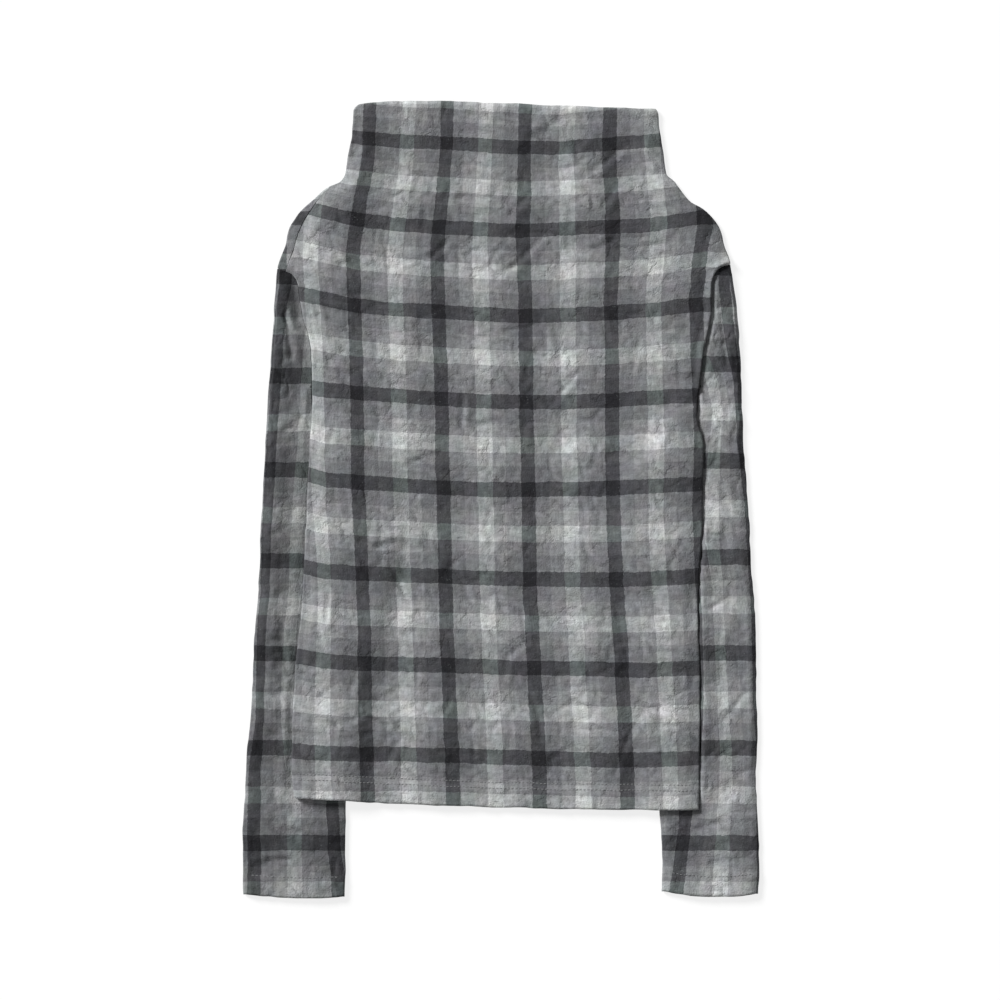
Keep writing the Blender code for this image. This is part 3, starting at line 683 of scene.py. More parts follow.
# Broad soft folds.
Fold = namedtuple("Fold", "x0 y0 x1 y1 half_width height")
FRONT_FOLDS = [Fold(*row) for row in (
    (-131, 353.5, -156, 256.5, 15, 1.8),         # neck to left shoulder
    (-103, 368, -125, 305, 12, 1),
    (75, 310, 144.5, 343, 9, 1.6),               # slanting crease, neck base
    (149.5, 324.5, 186, 251.5, 14, 1.8),         # neck to right shoulder
    (-47.5, 294.5, -5, 293.5, 8, -0.6),          # short dip under the neck
    (-181.5, 197.5, -172.5, 166.5, 8, 1.5),      # left armpit
    (201, 203, 193, 150, 8, 1.3),                # beside the right armhole
    (-78.5, 251.5, -96, 116, 18, 1.2),           # chest
    (96, 242, 135, 116, 18, 1.2),
    (-151.5, 96.5, -137, -39.5, 15, 1.3),        # waist
    (-30, 77, -1, -97.5, 20, 1.1),
    (154, 67.5, 135, -88, 16, 1.3),
    (-166, -97.5, -151.5, -262.5, 15, 1.2),      # towards the hem
    (-59, -117, -69, -282, 20, 1.2),
    (96, -107, 110.5, -282, 18, 1.3),
)]
# Sharp little creases: each a trough along a line, with a soft ridge on its left.
Crease = namedtuple("Crease", "x0 y0 x1 y1 half_width depth")
FRONT_CREASES = [Crease(*row) for row in (
    (-115.5, 337, -96, 320.5, 2.6, 1.31), (-96, 320.5, -74.5, 312, 2.6, 1.15),
    (-74.5, 310, -53.5, 291.5, 4, 1.48), (-53.5, 291.5, -46.5, 271, 3, 1.07),
    (118.5, 341, 104, 329.5, 2.6, 1.64), (104, 329.5, 83.5, 316.5, 3, 1.64),
    (81.5, 329.5, 55.5, 316.5, 2.4, 1.07), (110.5, 300, 100, 284.5, 2.6, 1.64),
    (-41.5, 293.5, -9.5, 293.5, 2.2, 1.31), (24, 292.5, 10.5, 278, 2.4, 1.48),
    (10.5, 278, 39, 269, 2, 0.9), (39, 253.5, 12.5, 226.5, 2.6, 1.8),
    (12.5, 225.5, 2, 221.5, 2.6, 1.31), (-51.5, 251.5, -66, 236, 2.4, 1.64),
    (-66, 236, -92, 229.5, 2.2, 1.07), (82.5, 239, 106.5, 251.5, 2.2, 1.15),
    (106.5, 251.5, 141.5, 254.5, 2.2, 1.07), (-35, 361.5, -19.5, 355.5, 4, 1.15),
    (29, 350.5, 53.5, 367, 2.4, 1.07), (53.5, 367, 72, 372, 2, 0.74),
    (72, 360.5, 98, 349.5, 2.2, 0.9), (-166, 254.5, -155, 229.5, 2.4, 1.15),
    (-155, 229.5, -125, 225.5, 2.2, 0.9), (-182.5, 187.5, -149.5, 181, 2.4, 0.98),
    (-181, 195, -176.5, 178, 2, 1.31), (-176.5, 178, -173.5, 158, 2, 1.07),
    (-149.5, 181, -139.5, 166.5, 2.4, 1.31), (-149.5, 218.5, -145.5, 201.5, 2.2, 1.07),
    (-83.5, 136.5, -68, 121, 2.4, 1.15), (-68, 121, -53.5, 113, 2.4, 1.07),
    (74.5, 123.5, 59, 105, 2.4, 1.31), (59, 105, 50.5, 93.5, 2.2, 1.07),
    (3, 124.5, 14.5, 107, 2.2, 1.07), (52.5, 172, 56.5, 145, 1.9, 0.74),
    (56.5, 145, 57, 119, 1.9, 0.74), (-2, 154.5, 27, 143, 2.2, 0.9),
    (27, 143, 36, 139, 2.2, 1.15), (-135, 123.5, -130, 110, 2.2, 1.07),
    (-111.5, 123.5, -115.5, 110, 2.2, 0.9), (-37, 97.5, -39, 72.5, 2.2, 1.64),
    (-39, 72.5, -28, 56.5, 2.2, 1.15), (25, 86, 22.5, 60.5, 2, 0.9),
    (88.5, 80, 103, 90.5, 2, 0.9), (-135, -39.5, -122, -46, 2.2, 1.31),
    (-122, -46, -105, -42, 2.4, 1.48), (-125, -51, -107.5, -63.5, 2.2, 1.07),
    (-107.5, -63.5, -95, -90.5, 2.2, 1.15), (-63, -37.5, -59, -52, 2.2, 1.48),
    (-59, -52, -46.5, -64.5, 2.2, 1.31), (-46.5, -64.5, -27, -103.5, 2.4, 1.48),
    (-21.5, -109, -3, -137.5, 2.2, 1.15), (20.5, -110, 25, -136.5, 2.2, 1.64),
    (25, -137.5, 37, -137.5, 2, 1.15), (25, -137.5, 8, -152, 2.2, 1.31),
    (8, -152, 3, -173, 2, 0.9), (27, -181, 35, -205, 2.2, 1.15),
    (35, -205, 39, -228.5, 2.8, 1.48), (51.5, -207, 69, -196.5, 2, 1.15),
    (69, -196.5, 84.5, -201.5, 2, 1.15), (-136, -209, -160, -219.5, 2.2, 1.15),
    (-160, -219.5, -166, -249, 2.2, 1.15), (-136, -210, -111.5, -218.5, 2.2, 1.15),
    (-111.5, -218.5, -100, -234.5, 2.4, 1.31), (-100, -234.5, -108.5, -251.5, 2.8, 1.48),
    (136, -208, 122, -234.5, 2.2, 1.31), (122, -234.5, 111.5, -264.5, 2.4, 1.48),
    (-122, -195.5, -105, -186, 2.2, 1.15), (48.5, -252.5, 65, -241, 2, 1.07),
    (8.5, -59.5, 24, -48, 2, 0.65), (24, -48, 31, -40.5, 2, 0.7),
    (1, -102.5, 21.5, -113, 2, 1.15), (165, -61.5, 176.5, -38.5, 2, 1.07),
    (76.5, 8, 82.5, -21, 2, 1.07), (-89, 35.5, -58, 47, 2, 1.15),
    (-34, -233.5, -12.5, -246, 2.2, 1.15), (-36, -260.5, -26, -265.5, 3.4, 1.31),
    (173.5, -238, 192, -249, 2.4, 1.31), (-149.5, -148, -140.5, -152, 3, 1.48),
    (-139.5, -167.5, -146.5, -185, 3, 1.31), (-69, -88, -62, -109, 2, 0.9),
    (112.5, -112, 122, -151, 2, 0.9), (135, -136.5, 141.5, -167.5, 2, 0.74),
    (81.5, -44, 92, -64.5, 2, 0.9), (-96, -117, -73.5, -136.5, 2, 0.9),
    (-44.5, -185, -54.5, -206, 2, 0.9), (-78.5, -151, -83.5, -185, 2, 0.9),
    (96, 193.5, 103, 156.5, 2, 0.74), (135, 154.5, 128, 123.5, 2, 0.74),
    (-20.5, 193.5, -26, 162.5, 2, 0.74), (-98, 193.5, -90, 164.5, 2, 0.74),
    (144.5, 77, 137.5, 46, 2, 0.74), (96, 57.5, 86.5, 28.5, 2, 0.9),
    (-1, 48, -11.5, 21, 2, 0.9), (-117.5, 77, -125, 48, 2, 0.74),
    (-151.5, 19, -146.5, -12, 2, 0.9), (-166, -88, -170, -119, 2, 1.07),
    (-177.5, -117, -173.5, -148, 2, 0.9), (135, 19, 146.5, -8, 2, 0.9),
    (57, 57.5, 69, 36.5, 2, 0.9),
)]


def soft_folds(x, y, folds):
    """Each fold is a bell across its own line."""
    height = np.zeros(np.shape(x))
    for fold in folds:
        away = away_from(x, y, [(fold.x0, fold.y0), (fold.x1, fold.y1)])
        height = height + fold.height * np.exp(-(away / fold.half_width) ** 2)
    return height


CREASE_END = 1.5                  # a crease fades over this many of its half widths
CREASE_RIDGE = (0.5, 2.2, 1.5)    # height, in depths; distance and width, in half widths


def sharp_creases(x, y, creases):
    """Each crease is a narrow bell down, with a wider half-high bell up beside it."""
    ridge_height, ridge_away, ridge_width = CREASE_RIDGE
    height = np.zeros(np.shape(x))
    for crease in creases:
        run_x, run_y = crease.x1 - crease.x0, crease.y1 - crease.y0
        length = math.hypot(run_x, run_y)
        beside = ((y - crease.y0) * run_x - (x - crease.x0) * run_y) / length
        along = ((x - crease.x0) * run_x + (y - crease.y0) * run_y) / length
        past = np.maximum(np.maximum(-along, along - length), 0.0)
        half = crease.half_width
        end = np.exp(-(past / (CREASE_END * half)) ** 2)
        trough = np.exp(-(beside / half) ** 2)
        ridge = ridge_height * np.exp(-((beside - ridge_away * half) / (ridge_width * half)) ** 2)
        height += crease.depth * end * (ridge - trough)
    return height


def repeats_between(place, centres, counts=None):
    """Count of repeats at a place, straight between stripes with the given counts.

    Without counts they are the dark stripes, which count 0, 1, 2 and so on.
    """
    counts = np.arange(len(centres)) if counts is None else counts
    repeats = np.zeros(np.shape(place))
    last = len(centres) - 2
    for k, (here, after) in enumerate(zip(centres[:-1], centres[1:])):
        share = (place - here) / (after - here)
        inside = ((share >= 0.0) | (k == 0)) & ((share < 1.0) | (k == last))
        repeats = np.where(inside, counts[k] + share * (counts[k + 1] - counts[k]), repeats)
    return repeats


def front_check(x, y):
    """Warp and weft repeats of the front, from its stripes' places."""
    warp = [np.interp(y, WARP_STRIPES[:, 0], centres) for centres in WARP_STRIPES[:, 1:].T]
    weft = [-np.interp(x, WEFT_STRIPES[:, 0], centres) for centres in WEFT_STRIPES[:, 1:].T]
    return repeats_between(x, warp), repeats_between(-y, weft)


SHOULDER_ROW = 13
UNDERARM_ROW = 22
left_armhole = [(row.left_x, row.left_y) for row in BODY[SHOULDER_ROW:UNDERARM_ROW + 1]]
right_armhole = [(row.right_x, row.right_y) for row in BODY[SHOULDER_ROW:UNDERARM_ROW + 1]]
# A seam's edge stands up beside it and falls steeply into it.
LEFT_SEAM_RIDGE = (1.2, 3.0)     # height, and how far from the seam
RIGHT_SEAM_RIDGE = (4.6, 1.6)
SHOULDER_SEAM_RIDGE = (0.3, 3.0)
SHOULDER_REACH = 6.0             # it is full where the seam lies this far from the fold
HEM_STITCH_ROWS = (19.0, 24.5)   # above the hem
CUFF_STITCH_ROW = 19.5
STITCH_GROOVE = (0.6, 1.3)       # depth, and half width
NECK_ROLL = (0.9, 4.0, 3.0)      # the turned neck edge: height, width, and rise


def seam_ridge(away, ridge):
    """0 in the seam, up to the ridge's height at its distance, then fading out."""
    height, reach = ridge
    return height * (away / reach) * np.exp(1.0 - away / reach)


def stitch_groove(above, row):
    """Bell-shaped groove that a row of stitches pulls into the cloth."""
    depth, half_width = STITCH_GROOVE
    return depth * np.exp(-((above - row) / half_width) ** 2)


def front_point(surface):
    """Grid of the front panel."""
    inward, height = panel_grid(1.0, surface)
    x, y = on_section(inward)
    edge = np.minimum(inward - inward[:, :1], inward[:, -1:] - inward)
    relief = FRONT_LOFT + soft_folds(x, y, FRONT_FOLDS) + sharp_creases(x, y, FRONT_CREASES)
    relief = smooth(edge / LOFT_REACH) * relief
    relief += smooth(edge / CRINKLE_REACH) * crinkle(x, y, FRONT_SEED)
    relief += seam_ridge(away_from(x, y, left_armhole), LEFT_SEAM_RIDGE)
    relief += seam_ridge(away_from(x, y, right_armhole), RIGHT_SEAM_RIDGE)
    on_shoulder = smooth(SEAM / SHOULDER_REACH) * FOLDED
    relief += on_shoulder * seam_ridge(inward - inward[:, :1], SHOULDER_SEAM_RIDGE)
    above_hem = y - y[-1:]
    for row in HEM_STITCH_ROWS:
        relief -= stitch_groove(above_hem, row)
    roll_height, roll_width, roll_rise = NECK_ROLL
    below_neck = y[:1] - y
    roll = roll_height * np.exp(-((below_neck - roll_width) / roll_width) ** 2)
    relief += roll * smooth(below_neck / roll_rise)
    z = body_lift(x, y) + ROW_WALL + PLY_GAP / 2.0 + height + np.maximum(relief, LEAST_RELIEF)
    return np.stack([x, y, z], axis=-1)


front_out, front_in = front_point(1.0), front_point(-1.0)
front_cells = np.ones((front_out.shape[0] - 1, front_out.shape[1] - 1), bool)
front = cloth_shell("front_cloth", front_out, front_in, front_cells,
                    *front_check(front_out[..., 0], front_out[..., 1]))
front.data.materials.append(WOOL)
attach(front, "root")
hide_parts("front")


# ---------------------------------------------------------------- Sleeves
# Each is cut in one and closed by an underarm seam, set in at the armhole and pressed
# flat.  Below the underarm its inner half lies under the body.

SLEEVE_COLUMNS = 42
SLEEVE_LOFT = 1.9
# It rises to its loft, left and right, over so much from the armhole, and over so much
# from the body's edge once it is clear of its side and its hem.
SLEEVE_RISE = (13.0, 5.0)
CLEAR_RAMP = (6.5, 1.6)
CLEAR_OF_SIDE = 0.7
CLEAR_OF_HEM = 3.0
SLEEVE_ENDS = 20.0                  # and from its folds over 1/20 of its width
LEAST_SLEEVE_RELIEF = -0.4
UNDER_CRINKLE = (0.3, 0.25, 0.45)   # mean, share and most, as resting() takes them
UNDER_SEED = 200                    # on top of the seed of the upper layer
# Outer edges of the sleeves above the underarm: y, left x and right x, from below up.
SLEEVE_TOPS = np.array([
    (106, -226, 233),
    (135, -223.2, 232),
    (165, -221.2, 231),
    (194, -219.5, 228),
    (209, -218.3, 226),
    (228, -217, 223),
])
# Places across a sleeve, at each y from the cuff up, of its outer dark stripe, the
# light one and the next dark one.
LEFT_SLEEVE_STRIPES = np.array([
    (-383.5, -239.5, -200, -156.5),
    (-340, -239.5, -200.5, -161.5),
    (-291.5, -239.5, -201, -164),
    (-262, -239, -202, -163),
    (-213, -234, -209.5, -170.5),
    (-172, -233.5, -208.5, -169.5),
    (-117, -231.6, -204.5, -165.5),
    (-88, -228.5, -200.5, -161.5),
    (-36.5, -227.4, -199.5, -160.5),
    (48, -223, -193, -154),
    (96.5, -219.5, -189.5, -150.5),
    (150, -216.5, -186, -147),
    (182, -213.5, -180, -141.5),
    (208, -209, -174.5, -137),
])
# painted shade: on the right sleeve beside the body's edge, from y -60 to -272, the next dark stripe
# lies closer to the light one than the repeat gives, so that its shade and dark stripes stand in for
# the shadow the body casts there
RIGHT_SLEEVE_STRIPES = np.array([
    (-379, 255, 212.5, 170),
    (-318, 255, 215.5, 178),
    (-272, 254, 218, 182),
    (-241, 253, 217.5, 190),
    (-196, 250.5, 213.5, 193),
    (-150, 250, 211, 193),
    (-125, 249.5, 210, 192.5),
    (-87, 248, 208, 191),
    (-60, 246, 206, 180),
    (-39.5, 244.5, 204.5, 165.5),
    (-0.5, 242, 204.5, 165.5),
    (57.5, 232.5, 209, 171),
    (85, 230.5, 212, 175),
    (116, 228.5, 206, 167),
    (149.5, 223.5, 191.5, 152.5),
    (174, 220, 185.5, 146.5),
    (203, 217, 183, 144),
    (218, 216.5, 183, 144),
])
LIGHT_SHARE = 0.495   # the light stripe's place in the repeat
LEFT_SLEEVE_WEFT = [216, 120, 28.5, -59.5, -149, -241, -333, -425.5]
RIGHT_SLEEVE_WEFT = [224.5, 131.5, 37.5, -56, -149, -241, -333, -425.5]
LEFT_SLEEVE_FOLDS = [Fold(*row) for row in (
    (-211.5, 203, -226, -212, 12, 3.6),           # full along the middle
    (-205.5, -150, -208.5, -262, 5, 0.8),         # at the body's edge
    (-226, -330, -180, -350, 12, 0.7),
)]
RIGHT_SLEEVE_FOLDS = [Fold(*row) for row in (
    (208.5, 205, 201, 120, 5, 1),                 # full beside the armhole
    (195.5, -40, 193.5, -275, 14, 4),             # and at the body's edge
    (224, 120, 228, -80, 11, 0.6),
    (234, -130, 234, -290, 9, -1),                # hollow down the middle
    (246, -90, 246.5, -290, 6, 0.8),              # outer side
    (228, -325, 186, -345, 12, 0.7),
)]
LEFT_SLEEVE_CREASES = [Crease(*row) for row in (
    (-209, 178, -204, 140, 3, 1.6),
    (-214, 60, -196, 78, 2.6, 0.5),
    (-222, -20, -205, -38, 2.6, 0.7),
    (-215, -128, -206, -170, 2.6, 1.4),
    (-232, -205, -214, -222, 2.4, 1.3),
    (-205, -320, -176, -330, 2.4, 1.3),
    (-236, -352, -205, -348, 2.2, 1.1),
)]
RIGHT_SLEEVE_CREASES = [Crease(*row) for row in (
    (214, 176, 219, 132, 3, 1.6),
    (209, 88, 226, 70, 2.6, 0.8),
    (214, 12, 226, -24, 2.6, 1.4),
    (222, -92, 213, -130, 2.6, 0.6),
    (236, -190, 216, -214, 2.4, 1.3),
    (182, -322, 214, -312, 2.4, 1.3),
    (206, -352, 240, -346, 2.2, 1.1),
)]


def turned(directions):
    """Plan directions turned a quarter to the left, at length 1."""
    left = np.stack([-directions[..., 1], directions[..., 0]], axis=-1)
    return left / np.linalg.norm(left, axis=-1, keepdims=True)


def sleeve_rows(table, side):
    """Fine rows of a sleeve: outer and inner end, sag, wall, and whether it is closed.

    Above the underarm it ends along the body's armhole, and the outer end runs down
    the table of sleeve tops.
    """
    armhole = np.array(left_armhole if side < 0 else right_armhole)
    inner = armhole + SEAM_GAP * np.array([side, 0.0])
    outer_x = np.interp(armhole[:, 1], SLEEVE_TOPS[:, 0], SLEEVE_TOPS[:, 1 if side < 0 else 2])
    outer = np.column_stack([outer_x, armhole[:, 1]])
    rows = np.array([(*a, *b, 0.0, WALL) for a, b in zip(outer, inner)] + table)
    fine = fine_rows(rows[:, 2:4], rows)
    return fine, fine[:, 3] <= inner[-1, 1] + 0.01


def body_edge(y, side):
    """Where the body's side lies over the sleeve."""
    edge_x, edge_y = (LEFT_X, LEFT_Y) if side < 0 else (RIGHT_X, RIGHT_Y)
    order = np.argsort(edge_y[:, 0])
    return np.interp(y, edge_y[order, 0], edge_x[order, 0])


def sleeve_grid(table, folds, creases, side, surface, seed):
    """Rings of a sleeve: outer fold, top layer, inner fold or armhole, bottom layer."""
    fine, closed = sleeve_rows(table, side)
    outer, inner = fine[:, None, 0:2], fine[:, None, 2:4]
    sag, wall = fine[:, 4, None], fine[:, 5, None]
    outer_in = turned(np.gradient(fine[:, 0:2], axis=0))[:, None, :] * -side
    inner_in = turned(np.gradient(fine[:, 2:4], axis=0))[:, None, :] * side
    middle = (PLY_GAP + wall) / 2.0
    radius = middle + surface * wall / 2.0
    centre = wall + PLY_GAP / 2.0
    arc = np.linspace(-1.0, 1.0, 2 * RIM_CELLS + 1)[None, :] * middle * math.pi / 2.0
    arc_in, arc_z = fold_arc(arc, wall, radius)
    inset = closed[:, None] * arc_in[:, :1]
    start = outer + arc_in[:, :1, None] * outer_in
    end = inner + inset[..., None] * inner_in
    share = np.linspace(0.0, 1.0, SLEEVE_COLUMNS + 1)[None, 1:]
    plan = start + share[..., None] * (end - start)
    x, y = plan[..., 0], plan[..., 1] - sag * 4.0 * share * (1.0 - share)
    clear = np.maximum(side * (x - body_edge(y, side)) - CLEAR_OF_SIDE,
                       RIGHT_Y[-1, 0] - CLEAR_OF_HEM - y)
    ends = smooth(np.minimum(share, 1.0 - share) * SLEEVE_ENDS)
    relief = (SLEEVE_LOFT + soft_folds(x, y, folds) + sharp_creases(x, y, creases)
              + crinkle(x, y, seed))
    relief -= stitch_groove(y - y[-1:], CUFF_STITCH_ROW)
    relief = (smooth(clear / CLEAR_RAMP[int(side > 0)]) * ends
              * np.maximum(relief, LEAST_SLEEVE_RELIEF))
    seam_away = away_from(x, y, left_armhole if side < 0 else right_armhole)
    relief *= np.where(closed[:, None], 1.0, smooth(seam_away / SLEEVE_RISE[int(side > 0)]))
    top_z = centre + radius + relief
    under = resting(x, y, seed + UNDER_SEED, *UNDER_CRINKLE) * ends
    bottom_z = centre - radius + under
    arc_z = (centre + arc_z)[..., None]
    outer_arc = np.concatenate([outer + arc_in[..., None] * outer_in, arc_z], axis=-1)
    inner_arc = np.concatenate([inner + arc_in[..., None] * inner_in, arc_z], axis=-1)
    top = np.stack([x, y, top_z], axis=-1)
    bottom = np.stack([x, y, bottom_z], axis=-1)
    grid = np.concatenate([outer_arc, top, inner_arc[:, -2:0:-1], bottom[:, ::-1]], axis=1)
    first_arc = outer_arc.shape[1] + SLEEVE_COLUMNS - 1
    arc_columns = slice(first_arc, first_arc + 2 * RIM_CELLS)
    cells = np.ones((grid.shape[0] - 1, grid.shape[1]), bool)
    cells[~(closed[:-1] & closed[1:]), arc_columns] = False
    return grid, cells


def sleeve_check(grid, stripes, weft_places, side):
    """Warp and weft repeats of a sleeve; the bottom layer runs on round the outer fold."""
    x, y = grid[..., 0], grid[..., 1]
    dark, light, after = (np.interp(y, stripes[:, 0], places) for places in stripes[:, 1:].T)
    before = dark + (dark - light)
    warp = repeats_between(side * -x, [side * -place for place in (before, dark, light, after)],
                           (-LIGHT_SHARE, 0.0, LIGHT_SHARE, 1.0))
    first_bottom = 4 * RIM_CELLS + SLEEVE_COLUMNS
    warp[:, first_bottom:] = 2.0 * warp[:, :1] - warp[:, first_bottom:]
    weft = repeats_between(-y, [-place for place in weft_places])
    return warp, weft


# painted shade: the left sleeve is drawn in a copy of the wool darkened to 0.75, for the shade it
# lies in
SHADED_WOOL = checked_wool(0.75)
sleeves = []
for name, node_name, side, wool, table, folds, creases, stripes, weft_places, seed in (
    ("left_sleeve_cloth", "sleeve_left", -1.0, SHADED_WOOL, LEFT_SLEEVE, LEFT_SLEEVE_FOLDS,
     LEFT_SLEEVE_CREASES, LEFT_SLEEVE_STRIPES, LEFT_SLEEVE_WEFT, 300),
    ("right_sleeve_cloth", "sleeve_right", 1.0, WOOL, RIGHT_SLEEVE, RIGHT_SLEEVE_FOLDS,
     RIGHT_SLEEVE_CREASES, RIGHT_SLEEVE_STRIPES, RIGHT_SLEEVE_WEFT, 400),
):
    sleeve_out, sleeve_cells = sleeve_grid(table, folds, creases, side, 1.0, seed)
    sleeve_in, _ = sleeve_grid(table, folds, creases, side, -1.0, seed)
    sleeve = cloth_shell(name, sleeve_out, sleeve_in, sleeve_cells,
                         *sleeve_check(sleeve_out, stripes, weft_places, side))
    sleeve.data.materials.append(wool)
    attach(sleeve, "root")
    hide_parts(node_name)
    sleeves.append((sleeve, sleeve_out))


# ---------------------------------------------------------------- Hem and cuff stitching
# Grey polyester thread, lockstitched: two rows hold the body's turned hem and one row
# each cuff.  The thread sinks into the wool, so little of each stitch stands out.

STITCH_LENGTH = 3.0
STITCH_PITCH = 3.7
THREAD_RADIUS = 0.32
STITCH_SIDES = 6
STITCH_MARGIN = 2.0   # from the ends of a row
STITCH_BOW = 0.9      # height of its bow, in the thread's radius
STITCH_SINK = 0.1     # how deep its ends lie, in the same
STITCH_END = 0.35     # thickness of its ends, as a share of the middle's


def row_above(grid, columns, above):
    """Line across a grid, at a height above its last row, within the given columns."""
    part = grid[:, columns]
    height = part[..., 1] - part[-1:, :, 1]
    i = np.argmax(height <= above, axis=0)
    across = np.arange(part.shape[1])
    low, high = height[i, across], height[i - 1, across]
    share = ((above - low) / (high - low))[:, None]
    return part[i, across] * (1.0 - share) + part[i - 1, across] * share


def stitches(name, lines, up):
    """Rows of stitches on lines: each a short six-sided bead, thickest halfway.

    Its centre line bows up between its two holes, as the sine of its run.
    """
    points, faces = [], []
    t = np.linspace(0.0, 1.0, 5)
    angle = np.arange(STITCH_SIDES) * 2.0 * math.pi / STITCH_SIDES
    for line, way in zip(lines, up):
        line = wander(line)
        run = np.concatenate([[0.0], np.cumsum(np.linalg.norm(np.diff(line, axis=0), axis=1))])
        starts = np.arange(STITCH_MARGIN, run[-1] - STITCH_LENGTH - STITCH_MARGIN, STITCH_PITCH)
        at = starts[:, None] + t * STITCH_LENGTH
        centre = np.stack([np.interp(at, run, line[:, k]) for k in range(3)], axis=-1)
        centre[..., 2] += way * THREAD_RADIUS * (STITCH_BOW * np.sin(t * math.pi) - STITCH_SINK)
        heading = np.gradient(centre, axis=1)
        heading /= np.linalg.norm(heading, axis=-1, keepdims=True)
        across = np.cross(heading, (0.0, 0.0, 1.0))
        across /= np.linalg.norm(across, axis=-1, keepdims=True)
        upward = np.cross(across, heading)
        swell = STITCH_END + (1.0 - STITCH_END) * np.sin(t * math.pi) ** 0.5
        thick = THREAD_RADIUS * swell[None, :, None, None]
        ring = centre[:, :, None, :] + thick * (
            np.cos(angle)[None, None, :, None] * across[:, :, None, :]
            + np.sin(angle)[None, None, :, None] * upward[:, :, None, :])
        first = sum(len(p) for p in points)
        number = first + np.arange(ring.size // 3).reshape(ring.shape[:3])
        after = np.roll(number, -1, axis=2)
        sides = np.stack([number[:, :-1], after[:, :-1], after[:, 1:], number[:, 1:]], axis=-1)
        faces += sides.reshape(-1, 4).tolist()
        faces += number[:, 0, ::-1].tolist() + number[:, -1].tolist()
        points.append(ring.reshape(-1, 3))
    return add_piece(name, np.concatenate(points), faces)


def spun_thread():
    """Spun polyester sewing thread, dyed mid grey: matt, with a slight twist."""
    thread = bpy.data.materials.new("spun_polyester_thread")
    thread.use_nodes = True
    tree = thread.node_tree
    shader = tree.nodes["Principled BSDF"]
    place = node(tree, "TexCoord").outputs["Object"]
    twist = node(tree, "TexNoise", [("Vector", place)],
                 values={"Scale": in_a_metre(1.111), "Detail": 1.0}).outputs["Fac"]
    shade = node(tree, "Mix", [(0, twist)], data_type="RGBA",
                 values={6: linear("727375"), 7: linear("8E8F90")}).outputs[2]
    tree.links.new(shade, shader.inputs["Base Color"])
    shader.inputs["Roughness"].default_value = 0.75
    return thread


THREAD = spun_thread()
panel_columns = slice(RIM_CELLS + 1, RIM_CELLS + PANEL_COLUMNS)
back_start = len(STRIP_SHARES) + RIM_CELLS
back_columns = slice(back_start + 1, back_start + PANEL_COLUMNS)
front_hem = stitches("front_hem_stitches",
                     [row_above(front_out, panel_columns, above) for above in HEM_STITCH_ROWS],
                     (1.0, 1.0))
back_hem = stitches("back_hem_stitches",
                    [row_above(back_out, back_columns, above) + (0.0, 0.0, THREAD_RADIUS)
                     for above in HEM_STITCH_ROWS], (-1.0, -1.0))
top_columns = slice(2 * RIM_CELLS + 2, 2 * RIM_CELLS + SLEEVE_COLUMNS)
bottom_columns = slice(-SLEEVE_COLUMNS + 1, -1)
cuffs = []
for name, (sleeve, grid) in zip(("left_cuff_stitches", "right_cuff_stitches"), sleeves):
    cuffs.append(stitches(name, [row_above(grid, top_columns, CUFF_STITCH_ROW),
                                 row_above(grid, bottom_columns, CUFF_STITCH_ROW)
                                 + (0.0, 0.0, THREAD_RADIUS)], (1.0, -1.0)))
for sewing in (front_hem, back_hem, *cuffs):
    sewing.data.materials.append(THREAD)
    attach(sewing, "root")


# ---------------------------------------------------------------- Table and light
# A white, lightly lit table, as in a cut-out on white, a broad soft lamp beyond the
# neck and to the left, and an even white room.

TABLE_SIZE = 28000.0     # so wide that no edge of it shows from low down
TABLE_TOP = -0.4
TABLE_GLOW = 0.78
PAINTED_SHADE_CENTRE = (2.2, -27.0, 0.0)   # of the painted shade beneath the garment, where the table does not glow
PAINTED_SHADE_REACH = (218.7, 252.0)       # half its width and length
SUN_STRENGTH = 4.5
SUN_SOFTNESS = 22.0      # degrees
SUN_HEIGHT = 28.0        # degrees above the table
SUN_FROM = 52.0          # degrees left of straight beyond the neck
ROOM = 0.28              # strength of its even light

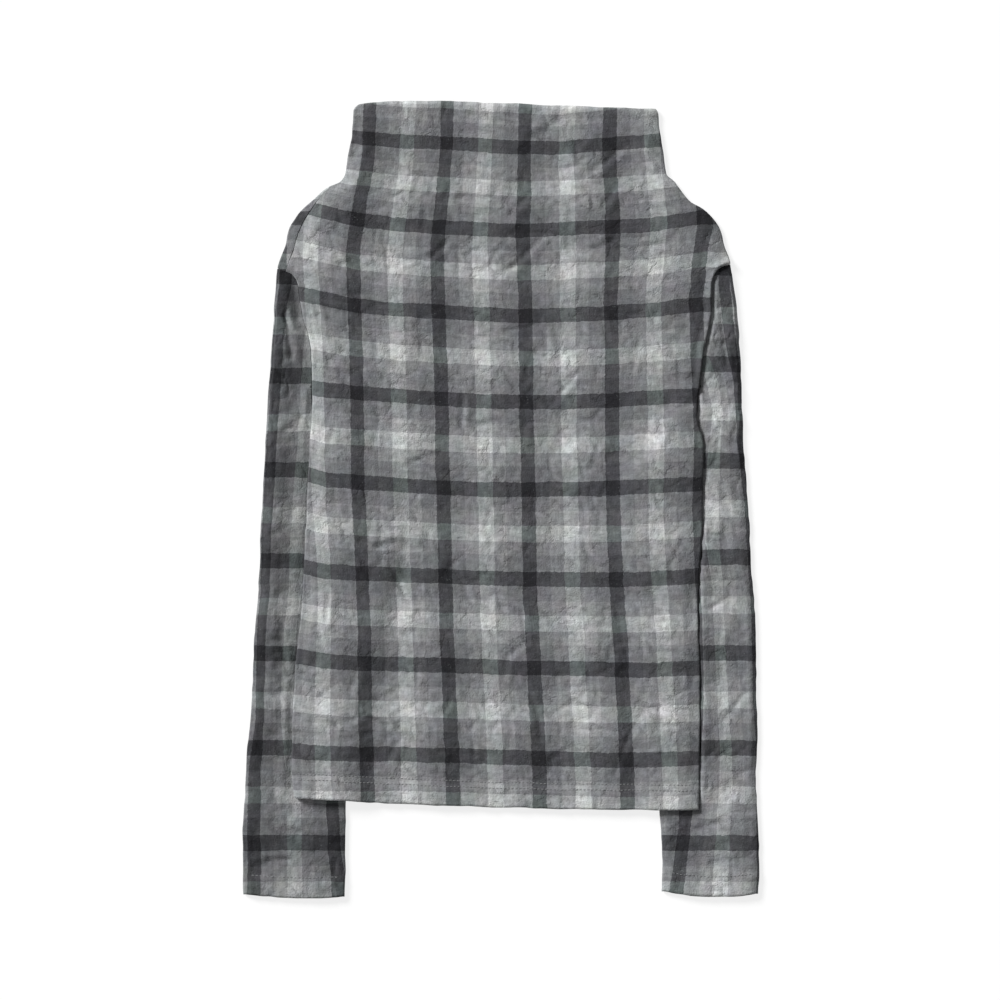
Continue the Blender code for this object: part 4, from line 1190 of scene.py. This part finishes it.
half = TABLE_SIZE / 2.0
table_top = add_piece("table", [(-half, -half, TABLE_TOP), (half, -half, TABLE_TOP),
                                (half, half, TABLE_TOP), (-half, half, TABLE_TOP)], [(0, 1, 2, 3)])
white = bpy.data.materials.new("white_table")
white.use_nodes = True
white_shader = white.node_tree.nodes["Principled BSDF"]
white_shader.inputs["Base Color"].default_value = (0.25, 0.25, 0.25, 1.0)
white_shader.inputs["Roughness"].default_value = 1.0
white_shader.inputs["Specular IOR Level"].default_value = 0.0
white_shader.inputs["Emission Color"].default_value = (1.0, 1.0, 1.0, 1.0)
# painted shade: beneath the garment the table does not glow, as in the garment's shadow, so that no
# light comes up between the seams
table_tree = white.node_tree
spot = node(table_tree, "TexCoord").outputs["Object"]
spot = node(table_tree, "VectorMath", [(0, spot)], operation="SUBTRACT",
            values={1: tuple(c * MM for c in PAINTED_SHADE_CENTRE)}).outputs[0]
spot = node(table_tree, "VectorMath", [(0, spot)], operation="ABSOLUTE").outputs[0]
sides = node(table_tree, "SeparateXYZ", [(0, spot)]).outputs
beyond = [node(table_tree, "Math", [(0, sides[axis])], operation="GREATER_THAN",
               values={1: reach * MM}).outputs[0] for axis, reach in zip("XY", PAINTED_SHADE_REACH)]
glow = node(table_tree, "Math", [(0, beyond[0]), (1, beyond[1])], operation="MAXIMUM").outputs[0]
glow = node(table_tree, "Math", [(0, glow)], operation="MULTIPLY",
            values={1: TABLE_GLOW}).outputs[0]
table_tree.links.new(glow, white_shader.inputs["Emission Strength"])
table_top.data.materials.append(white)

sun_data = bpy.data.lights.new("lamp", "SUN")
sun_data.energy = SUN_STRENGTH
sun_data.angle = math.radians(SUN_SOFTNESS)
sun = bpy.data.objects.new("lamp", sun_data)
sun.rotation_euler = (math.radians(SUN_HEIGHT - 90.0), 0.0, math.radians(SUN_FROM))
bpy.context.scene.collection.objects.link(sun)
room = bpy.data.worlds.new("room")
room.use_nodes = True
room.node_tree.nodes["Background"].inputs["Color"].default_value = (1.0, 1.0, 1.0, 1.0)
room.node_tree.nodes["Background"].inputs["Strength"].default_value = ROOM
bpy.context.scene.world = room
